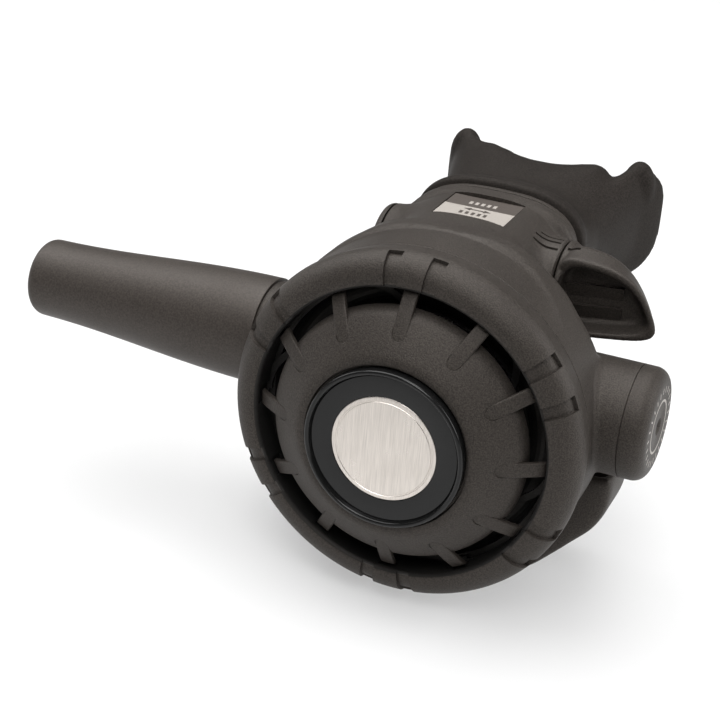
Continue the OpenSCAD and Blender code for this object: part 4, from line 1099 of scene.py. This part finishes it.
def cap_print(size):
    """The ring and the ticks printed on the end cap."""
    end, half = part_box("end_cap")[1].x, 0.28 * MM
    low, high = end - PRINT_T, end + PRINT_T
    band = revolve("cap_ring", rectangle(size.mark_r - half, low, size.mark_r + half, high), barrel_point, 96,
                   sharp=30)
    tick_r, tick_len, tick_w = 8.1 * MM, 1.5 * MM, 0.22 * MM
    tick = bar("tick", rectangle(-tick_w, tick_r, tick_w, tick_r + tick_len), low, high, "X")
    ticks = copies_of("cap_ticks", tick, turned_copies_tree(), Count=size.ticks, Centre=(0, 0, 0),
                      Axis=(1, 0, 0), Material=FinishBook.get("light"))
    return band, ticks


class REGULATOR_OT_end_cap(Operator):
    """Build the end cap with its chamfered hole, printed ring and ticks"""
    bl_idname = "regulator.end_cap"
    bl_label = "End Cap"

    def execute(self, context):
        size = context.scene.regulator_case
        cap = revolve("barrel_cap", cap_outline(size), barrel_point, 96)
        dress(cap, "plastic", "case", "case_plastic", "end_cap")
        for mark in cap_print(size):
            dress(mark, "light", "case", "label_print")
        return {"FINISHED"}


# Air lever

def soft_least(limits, softness):
    """The least of some lengths, eased where two of them are alike."""
    return sum((MM / limit) ** softness for limit in limits) ** (-1 / softness) * MM


def paddle_loop(size, inset, front, left, fall, softness, count=180):
    """Outline of the paddle, drawn in by inset, at a distance in front of the lever axis.

    Four limits meet in soft corners: a wide arc on the far side, a level top, a slanted foot and the
    hub side.
    """
    mid_x, mid_z, slant = 31 * MM, -1.5 * MM, math.radians(8)
    deep = max(0.0, size.front - front)
    drawn = size.lean * deep
    foot, top = size.foot + inset + drawn / 2, size.top - inset - fall * min(deep, size.recess)
    off_x, off_z, r = mid_x - size.paddle_x + drawn, mid_z + size.paddle_drop, size.paddle_r - inset
    room = (mid_z - foot) * math.cos(slant) - (mid_x - LEVER_LEFT) * math.sin(slant)
    loop = []
    for turn in np.linspace(0, 2 * math.pi, count, endpoint=False):
        dx, dz = math.cos(turn), math.sin(turn)
        along = off_x * dx + off_z * dz
        reach = [math.sqrt(along ** 2 - off_x ** 2 - off_z ** 2 + r ** 2) - along]
        sink = dx * math.sin(slant) - dz * math.cos(slant)
        if dx < 0:
            reach.append((left - mid_x) / dx)
        if dz > 0:
            reach.append((top - mid_z) / dz)
        if sink > 0:
            reach.append(room / sink)
        far = soft_least(reach, softness)
        loop.append((COVER_X + mid_x + far * dx, PIVOT_Y - front, NECK_Z + mid_z + far * dz))
    return loop


def paddle_body(size):
    """The paddle without its recess, round at the back and crisp in front."""
    rear, edge = 4 * MM, 0.7 * MM
    rows = [(rear * (1 - math.cos(a)), rear * (1 - math.sin(a)) - size.back)
            for a in np.radians(np.linspace(90, 0, 9))]
    rows += [(edge * (1 - math.cos(a)), size.front - edge * (1 - math.sin(a)))
             for a in np.radians(np.linspace(0, 90, 5))]
    return loft("thumb_paddle", [paddle_loop(size, inset, front, LEVER_LEFT + inset, -0.3, 5)
                                 for inset, front in rows], capped=True)


def recess_cutter(size):
    """The room of the thumb recess, with walls that lean in towards its floor."""
    floor, lean, ease = size.front - size.recess, 0.6 * MM, 0.35 * MM
    rows = [(-ease, size.front + 4 * MM), (-ease, size.front + 0.1 * MM), (0.0, size.front - ease),
            (lean - ease, floor + 2 * ease), (lean + ease, floor)]
    return loft("recess", [paddle_loop(size, size.rim + lean_in, front, size.recess_left + lean_in, 0.0, 4)
                           for lean_in, front in rows], capped=True)


def grip_steps(size):
    """Ledges across the floor of the thumb recess, one below the other."""
    floor_y, out, sunk = PIVOT_Y - size.front + size.recess, 1.1 * MM, 0.6 * MM
    start, stop, top, rise = LEVER_LEFT + 1.6 * MM, 38 * MM, 1.9 * MM, math.tan(math.radians(6))
    rows = []
    for x in (start, stop):
        z = NECK_Z + top + (x - start) * rise
        rows.append([(COVER_X + x, floor_y + sunk, z), (COVER_X + x, floor_y - out, z),
                     (COVER_X + x, floor_y + sunk, z - size.step)])
    return copies_of("grip_steps", loft("ledge", rows, capped=True), line_copies_tree(), Count=size.steps,
                     Step=(0, 0, -size.step), Material=FinishBook.get("plastic"))


def lever_hub(size, hub_r):
    """The round hub of the lever, coned towards the paddle."""
    ease, end = 0.35 * MM, LEVER_LEFT + size.hub_len
    outline = [(0, LEVER_LEFT), (hub_r - ease, LEVER_LEFT), (hub_r, LEVER_LEFT + ease),
               (hub_r, LEVER_LEFT + MM), (0.8 * hub_r, end), (0, 2 * end - LEVER_LEFT)]
    return revolve("hub", outline, pivot_point, 96)


def moulded_lever(size, hub_r):
    """The lever in one skin: paddle and hub, with the recess, the index groove and the grip steps."""
    fine = 0.3 * MM
    lever = join(paddle_body(size), [lever_hub(size, hub_r)])
    remesh(lever, fine)
    cut(lever, [recess_cutter(size)])
    remesh(lever, fine)
    relax(lever, 3)
    cut(lever, [index_groove(-2.9 * MM, size.top + 0.1 * MM, 23.2 * MM, 26.2 * MM, 0.5 * MM)])
    join(lever, [grip_steps(size)])
    finish_mesh(lever.data, 40)
    return lever


def slotted_cap(size):
    """The round cap on the far end of the lever's axis, with a slot across it."""
    near, far, edge = -HUB_FACE - 0.3 * MM, -HUB_END, 1.6 * MM
    slot_len, slot_w, slot_deep = 4.7 * MM, 0.7 * MM, 0.6 * MM
    side = arc(size.cap_r - edge, far + edge, edge, 0, -90, 8)
    cap = revolve("pivot_disc", [(0, near), (size.cap_r, near)] + side + [(0, far)], pivot_point, 96)
    slot = rectangle(PIVOT_Y - slot_len, NECK_Z - slot_w, PIVOT_Y + slot_len, NECK_Z + slot_w)
    cut(cap, [bar("slot", slot, COVER_X + far - MM, COVER_X + far + slot_deep, "X")])
    finish_mesh(cap.data, 40)
    return cap


class REGULATOR_OT_air_lever(Operator):
    """Build the air lever, and the cap on the far end of its axis"""
    bl_idname = "regulator.air_lever"
    bl_label = "Air Lever"

    def execute(self, context):
        size, hub_r = context.scene.regulator_lever, context.scene.regulator_case.hub_r
        dress(moulded_lever(size, hub_r), "plastic", "air_lever", "case_plastic", "air_lever")
        dress(slotted_cap(size), "plastic", "air_lever", "case_plastic", "pivot_cap")
        return {"FINISHED"}


# Label

def label_bars(name, finish, low_y, top):
    """A row of plain upright bars printed on the label."""
    left, step, tall, count = COVER_X - 3.6 * MM, 1.5 * MM, 1.8 * MM, 5
    outline = rectangle(left, low_y, left + 0.55 * step, low_y + tall)
    mark = bar("mark", outline, top - PRINT_T, top + PRINT_T, "Z")
    bars = copies_of(name, mark, line_copies_tree(), Count=count, Step=(step, 0, 0),
                     Material=FinishBook.get(finish))
    dress(bars, finish, "case", "label_print")


def label_arrow(y, low, high):
    """A two-way arrow between the rows of bars."""
    tip, barb, half = 3.4 * MM, 1.6 * MM, 0.9 * MM
    upper = [(-tip, 0), (-barb, -half), (-barb, -half / 3), (barb, -half / 3), (barb, -half)]
    outline = upper + [(-x, -z) for x, z in upper]
    arrow = bar("label_arrow", [(COVER_X + x, y + z) for x, z in outline], low, high, "Z")
    dress(arrow, "ink", "case", "label_print")


class REGULATOR_OT_label(Operator):
    """Build the label plate, half dark and half light, with plain bars and a two-way arrow"""
    bl_idname = "regulator.label"
    bl_label = "Label"

    def execute(self, context):
        lift = Vector((0, 0, 1.2 * MM))
        low, high = (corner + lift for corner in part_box("window_label"))
        split, film = PIVOT_Y - 0.3 * MM, 0.04 * MM
        dark_top = high.z - film
        base = bar("label_base", rectangle(low.x, low.y, high.x, high.y), low.z, dark_top, "Z")
        dress(base, "ink", "case", "label_print", "window_label")
        band = bar("label_band", rectangle(low.x, low.y, high.x, split), dark_top, high.z, "Z")
        dress(band, "light", "case", "label_print")
        label_bars("dark_bars", "ink", low.y + 3.2 * MM, high.z)
        label_bars("light_bars", "light", split + 2 * MM, dark_top)
        label_arrow(split - 1.6 * MM, dark_top, high.z + film / 2)
        return {"FINISHED"}


# Mouthpiece and tie

def spline(values, count):
    """Smooth closed curve through rows of values."""
    values = np.asarray(values)
    n = len(values)
    out = []
    for i in range(n):
        a, b, c, d = (values[(i + k) % n] for k in (-1, 0, 1, 2))
        for t in np.linspace(0, 1, count, endpoint=False):
            m0, m1 = (c - a) * 0.35, (d - b) * 0.35
            out.append((2 * t ** 3 - 3 * t ** 2 + 1) * b + (t ** 3 - 2 * t ** 2 + t) * m0
                       + (-2 * t ** 3 + 3 * t ** 2) * c + (t ** 3 - t ** 2) * m1)
    return out


def ear_dip(x):
    """Share by which the flange's upper edge dips: in a wide bow, and more sharply beside each ear."""
    bow, bow_w, beside_x, beside_w = 0.235, 19 * MM, 18.6 * MM, 2.6 * MM
    beside = 0.225 if x > 0 else 0.06
    return bow * math.exp(-(x / bow_w) ** 2) + beside * math.exp(-((abs(x) - beside_x) / beside_w) ** 2)


def mouth_sections(size):
    """Half width, rise, fall, squareness, depth, bend and share of the ears, ring by ring."""
    mid, back, bend, low = size.flange_depth, size.flange_depth + size.flange_t, size.bend, size.flange_low
    (spigot_a, spigot_b), end = (half + 0.05 * MM for half in SPIGOT), size.collar_len
    in_a, in_b, ridge = size.tie_a - 1.2 * MM, size.tie_b - 1.2 * MM, size.tie_w + 1.5 * MM
    lip, dish, root, square = size.flange_t / 4, 5 * MM, 3.5 * MM, 2.7
    waist_a, waist_b = size.waist_a, size.waist_b

    def collar(shrink, depth):
        a, b = size.collar_a - shrink * MM, size.collar_b - shrink * MM
        return (a, b, b, square, ridge + depth * MM, 0, 0)

    return [
        (spigot_a, spigot_b, spigot_b, 2, 0.2 * MM, 0, 0),
        (in_a, in_b, in_b, square, 0.2 * MM, 0, 0),
        (in_a, in_b, in_b, square, ridge + 0.1 * MM, 0, 0),
        collar(0.5, 0.2), collar(0.1, 0.6), collar(0, 1.8),
        collar(0, 3.2), collar(0.3, 4.4), collar(1.0, 5.4),
        (waist_a, waist_b + 1.4 * MM, waist_b + 1.4 * MM, 2, end + 2 * MM, 0, 0),
        (waist_a, waist_b, waist_b, 2.1, mid * 0.55, 2 * MM, 0),
        (waist_a + 2.2 * MM, waist_b + 0.8 * MM, waist_b + 2 * MM, 2.4, mid * 0.75, bend * 0.35, 0),
        (size.flange_a - root, size.flange_b - MM, low - 2.5 * MM, 3, mid - 2.6 * MM, bend * 0.75, 0.6),
        (size.flange_a, size.flange_b, low, 3.4, mid, bend, 1),
        (size.flange_a - lip, size.flange_b - lip, low - lip, 3.4, back, bend, 1),
        (size.flange_a - dish, size.flange_b - 3 * MM, low - dish, 2.8, back - MM, bend * 0.8, 0.4),
        (size.bore_a, size.bore_b, size.bore_b, 2.1, mid - 3 * MM, 1 * MM, 0),
        (size.bore_a, size.bore_b, size.bore_b, 2, end + 1.5 * MM, 0, 0),
        (spigot_a, spigot_b, spigot_b, 2, 10.3 * MM, 0, 0),
    ]


def mouth_row(size, section, count=160):
    """One ring of the mouthpiece skin."""
    a, rise, fall, square, depth, bend, ears = section
    row = []
    for turn in (np.arange(count) + 0.5) * 2 * math.pi / count:
        x, up = a * bulge(math.cos(turn), square), bulge(math.sin(turn), square)
        z = rise * up * (1 - ears * ear_dip(x)) if up > 0 else fall * up
        row.append((COVER_X + x, NECK_END + depth + bend * (x / size.flange_a) ** 2, NECK_Z + z))
    return row


def bite_tab(size, side):
    """One tab that the teeth hold, rooted in the bent flange, with a stop at its end and a ridge before."""
    left, end = size.bore_a + MM, size.flange_depth + size.tab_len
    swell, width, stop_in, ridge_in = 1.4 * MM, 1.3 * MM, 1.8 * MM, 8.5 * MM
    rows = []
    for share in np.linspace(0, 1, 40):
        trim = 1.0 - 0.3 * smooth_step((share - 0.95) / 0.05)
        row = []
        for u, v in rounded_square(32):
            x = left + (1 + trim * u) * size.tab_w / 2
            root = size.flange_depth - 1.5 * MM + 0.8 * size.bend * (x / size.flange_a) ** 2
            depth = root + share * (end - root)
            stop = math.exp(-((depth - end + stop_in) / width) ** 2)
            ridge = 0.7 * math.exp(-((depth - end + ridge_in) / width) ** 2)
            half = trim * (size.tab_t / 2 + swell * (stop + ridge))
            row.append((COVER_X + side * x, NECK_END + depth, NECK_Z + v * half))
        rows.append(row)
    return loft("bite_tab", rows, capped=True)


def ear(size, side):
    """The thick round corner at the upper end of the flange."""
    x, top, tall, deep, behind = 24 * MM, 14.5 * MM, 7.5 * MM, 4 * MM, 1.2 * MM
    rise = top - tall
    depth = size.flange_depth + size.bend * (x / size.flange_a) ** 2 + behind
    rows = []
    for s in np.linspace(-1, 1, 17)[1:-1]:
        r = math.sqrt(1 - s * s)
        rows.append([(COVER_X + side * (x + a), NECK_END + depth + s * deep, NECK_Z + rise + b)
                     for a, b in oval(r * size.ear_r, r * tall, 0, 0, 24)])
    return loft("ear", rows, capped=True)


class REGULATOR_OT_mouthpiece(Operator):
    """Build the soft mouthpiece with its flange, ears and bite tabs"""
    bl_idname = "regulator.mouthpiece"
    bl_label = "Mouthpiece"

    def execute(self, context):
        size = context.scene.regulator_mouth
        skin = loft("mouth_grip", [mouth_row(size, s) for s in spline(mouth_sections(size), 5)])
        join(skin, [form(size, side) for side in (-1, 1) for form in (bite_tab, ear)])
        remesh(skin, size.voxel)
        relax(skin, 12)
        finish_mesh(skin.data, 60)
        dress(skin, "rubber", "case", "mouth_rubber", "mouthpiece")
        return {"FINISHED"}


def tie_band(size, start, squareness):
    """The band of the tie, squared like the neck, with round outer edges."""
    edge, thick = 0.2 * MM, 1.25 * MM
    section = ([(-thick, 0.0), (-edge, 0.0)] + arc(-edge, edge, edge, 270, 360, 5)[1:]
               + arc(-edge, size.tie_w - edge, edge, 0, 90, 5) + [(-thick, size.tie_w)])
    rows = [[(x, start + along, z) for x, z in squared_oval(size.tie_a + off, size.tie_b + off, squareness)]
            for off, along in section]
    return loft("mouth_tie", rows, sharp=50)


def tie_lock(size, start):
    """The small lock of the tie, below the neck."""
    half, bottom, sunk, out = 2 * MM, NECK_Z - size.tie_b, 0.4 * MM, 2.2 * MM
    rows = [[(COVER_X + half * u, start + size.tie_w * (1 + v) / 2, z) for u, v in rounded_square(24, 6)]
            for z in (bottom + sunk, bottom - out)]
    return loft("lock", rows, capped=True)


class REGULATOR_OT_tie(Operator):
    """Build the tie that holds the mouthpiece on the neck, with its lock below"""
    bl_idname = "regulator.tie"
    bl_label = "Tie"

    def execute(self, context):
        size, start = context.scene.regulator_mouth, TIE_Y + 0.5 * MM
        tie = join(tie_band(size, start, context.scene.regulator_case.neck_square), [tie_lock(size, start)])
        finish_mesh(tie.data, 50)
        dress(tie, "plastic", "case", "dark_plastic", "mouthpiece_tie")
        return {"FINISHED"}


# Exhaust tee

class REGULATOR_OT_tee(Operator):
    """Build the exhaust tee as one soft-edged moulding"""
    bl_idname = "regulator.tee"
    bl_label = "Exhaust Tee"

    def execute(self, context):
        tee = copy_of_solid("tee_shell", "exhaust_tee")
        remesh(tee, 0.7 * MM)
        relax(tee, 40)
        finish_mesh(tee.data, 60)
        dress(tee, "plastic", "case", "case_plastic", "exhaust_tee")
        return {"FINISHED"}


# Springs

def coil(name, node):
    """A steel copy of a spring, with a mesh of its own."""
    made = copy_of_solid(name, node)
    dress(made, "steel", "case", "steel", node)
    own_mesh(made)


class REGULATOR_OT_springs(Operator):
    """Build the two springs as steel copies of their solids"""
    bl_idname = "regulator.springs"
    bl_label = "Springs"

    def execute(self, context):
        coil("purge_coil", "purge_spring")
        coil("valve_coil", "poppet_spring")
        return {"FINISHED"}


# Solids that stay as they are

class REGULATOR_OT_inner_pieces(Operator):
    """Give the solids that stay in view their finishes"""
    bl_idname = "regulator.inner_pieces"
    bl_label = "Inner Pieces"

    def execute(self, context):
        finishes = {
            "dark": ["inner_guard", "poppet", "air_vane"],
            "plastic": ["inlet_nut"],
            "membrane": ["diaphragm", "exhaust_valve"],
            "seal": ["orifice_o_ring", "barrel_o_rings", "poppet_seat", "shaft_o_rings"],
            "steel": ["diaphragm_plate", "lever_washer", "lever_locknut", "demand_lever", "air_lever_shaft"],
            "brass": ["inlet_barrel", "orifice", "end_plug"],
        }
        for name, nodes in finishes.items():
            for node in nodes:
                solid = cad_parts[node]
                solid.data.materials.clear()
                solid.data.materials.append(FinishBook.get(name))
        return {"FINISHED"}


# Stage

def set_camera(scene, size):
    """Puts the camera where the picture was taken from."""
    back = Vector((math.sin(size.azimuth) * math.cos(size.elevation),
                   -math.cos(size.azimuth) * math.cos(size.elevation), math.sin(size.elevation)))
    right = Vector((math.cos(size.azimuth), math.sin(size.azimuth), 0))
    up = back.cross(right)
    side = right * math.cos(size.roll) + up * math.sin(size.roll)
    top = up * math.cos(size.roll) - right * math.sin(size.roll)
    lens = bpy.data.cameras.new("camera")
    lens.lens = size.lens
    lens.sensor_width = 36.0
    lens.sensor_fit = "HORIZONTAL"
    lens.clip_start = 0.01
    camera = bpy.data.objects.new("camera", lens)
    camera.matrix_world = (Matrix.Translation(Vector(size.place))
                           @ Matrix((side, top, back)).transposed().to_4x4())
    scene.collection.objects.link(camera)
    scene.camera = camera


def pale_floor(size):
    """Pale paper that gives off a little light behind the part, and more far away."""
    finish, nodes, links, shader, where = new_finish("pale_floor")
    haze = noise(nodes, links, where, 0.4)
    links.new(two_tone(nodes, links, haze, (0.42, 0.42, 0.42), 0.99, 1.0), shader.inputs["Base Color"])
    shader.inputs["Roughness"].default_value = 0.9
    place, reach = nodes.new("ShaderNodeSeparateXYZ"), nodes.new("ShaderNodeVectorMath")
    reach.operation = "LENGTH"
    links.new(where, place.inputs[0])
    links.new(where, reach.inputs[0])
    shader.inputs["Emission Color"].default_value = (1, 1, 1, 1)
    near = spread(nodes, links, place.outputs["Y"], 0.0, size.glow, -0.22, -0.08)
    far = spread(nodes, links, reach.outputs["Value"], 0.0, size.far_glow - size.glow, 0.5, 1.6)
    links.new(combine(nodes, links, "ADD", near, far), shader.inputs["Emission Strength"])
    return finish


def set_floor(size):
    """Lays a plain pale floor just under the part."""
    level, side = CAD_BOX[0][2] - 0.5 * MM, 8.0
    corners = [(x, y, level) for x, y in rectangle(COVER_X - side, -side, COVER_X + side, side)]
    floor = mesh_object("floor", corners, [(0, 1, 2, 3)])
    if floor.data.polygons[0].normal.z < 0:
        floor.data.flip_normals()
    floor.data.materials.append(pale_floor(size))


def white_wall():
    """Plain white that needs no light."""
    finish, nodes, links, shader, where = new_finish("white_wall")
    haze = noise(nodes, links, where, 0.4)
    links.new(two_tone(nodes, links, haze, (1, 1, 1), 0.99, 1.0), shader.inputs["Emission Color"])
    shader.inputs["Base Color"].default_value = (0, 0, 0, 1)
    shader.inputs["Emission Strength"].default_value = 1.0
    return finish


def set_backdrop():
    """Stands a white wall far round the floor, which the camera sees and which lights nothing."""
    wall_r, bottom, top = 7.0, CAD_BOX[0][2] - MM, 6.0
    ring = oval(wall_r, wall_r, COVER_X, 0.0)
    points = [(x, y, z) for z in (bottom, top) for x, y in ring]
    wall = mesh_object("backdrop", points, grid_faces(2, len(ring), close_rows=False))
    wall.data.materials.append(white_wall())
    wall.visible_diffuse = wall.visible_glossy = wall.visible_transmission = wall.visible_shadow = False


def set_light(scene, name, place, width, watts):
    """Hangs a round soft light that faces the part."""
    lamp = bpy.data.lights.new(name, "AREA")
    lamp.shape, lamp.size, lamp.energy = "DISK", width, watts
    light = bpy.data.objects.new(name, lamp)
    light.location = place
    aim = Vector((COVER_X, 0.01, 0.0)) - Vector(place)
    light.rotation_euler = aim.to_track_quat("-Z", "Y").to_euler()
    scene.collection.objects.link(light)


class REGULATOR_OT_stage(Operator):
    """Set the camera, the pale floor, the white backdrop and the soft lights"""
    bl_idname = "regulator.stage"
    bl_label = "Stage"

    def execute(self, context):
        scene, size = context.scene, context.scene.regulator_stage
        set_camera(scene, size)
        set_floor(size)
        set_backdrop()
        set_light(scene, "top", (-0.15, 0.1, 1.2), 1.6, size.top)
        set_light(scene, "front", (0.3, -0.6, 0.75), 0.5, size.front)
        set_light(scene, "side", (-0.55, 0.1, 0.35), 0.4, size.side)
        set_light(scene, "edge", (0.62, 0.16, 0.22), 0.4, size.edge)
        scene.view_settings.view_transform = "Standard"
        scene.world = scene.world or bpy.data.worlds.new("studio")
        scene.world.use_nodes = True
        sky = scene.world.node_tree.nodes["Background"]
        sky.inputs["Color"].default_value = (1, 1, 1, 1)
        sky.inputs["Strength"].default_value = size.sky
        return {"FINISHED"}


class REGULATOR_PT_panel(Panel):
    """Lists the steps that build the regulator"""
    bl_idname = "REGULATOR_PT_panel"
    bl_label = "Regulator"
    bl_space_type = "VIEW_3D"
    bl_region_type = "UI"
    bl_category = "Regulator"

    def draw(self, context):
        for step in STEPS:
            self.layout.operator(step.bl_idname)


STEPS = (
    REGULATOR_OT_stage, REGULATOR_OT_inner_pieces, REGULATOR_OT_cover_ring, REGULATOR_OT_purge_button,
    REGULATOR_OT_badge, REGULATOR_OT_case, REGULATOR_OT_sleeve, REGULATOR_OT_end_cap, REGULATOR_OT_air_lever,
    REGULATOR_OT_label, REGULATOR_OT_mouthpiece, REGULATOR_OT_tie, REGULATOR_OT_tee, REGULATOR_OT_springs,
)
GROUPS = {
    "regulator_cover": CoverSizes, "regulator_case": CaseSizes, "regulator_lever": LeverSizes,
    "regulator_mouth": MouthSizes, "regulator_finishes": Finishes, "regulator_stage": StageSizes,
}


def register():
    """Registers the classes and puts the sizes on the scene."""
    for made in (*GROUPS.values(), *STEPS, REGULATOR_PT_panel):
        bpy.utils.register_class(made)
    for name, group in GROUPS.items():
        setattr(bpy.types.Scene, name, PointerProperty(type=group))


def unregister():
    """Takes the sizes and the classes away again."""
    for name in GROUPS:
        delattr(bpy.types.Scene, name)
    for made in reversed((*GROUPS.values(), *STEPS, REGULATOR_PT_panel)):
        bpy.utils.unregister_class(made)


def main():
    """Runs every step in order."""
    register()
    for step in STEPS:
        group, name = step.bl_idname.split(".")
        getattr(getattr(bpy.ops, group), name)()


if __name__ == "__main__":
    main()
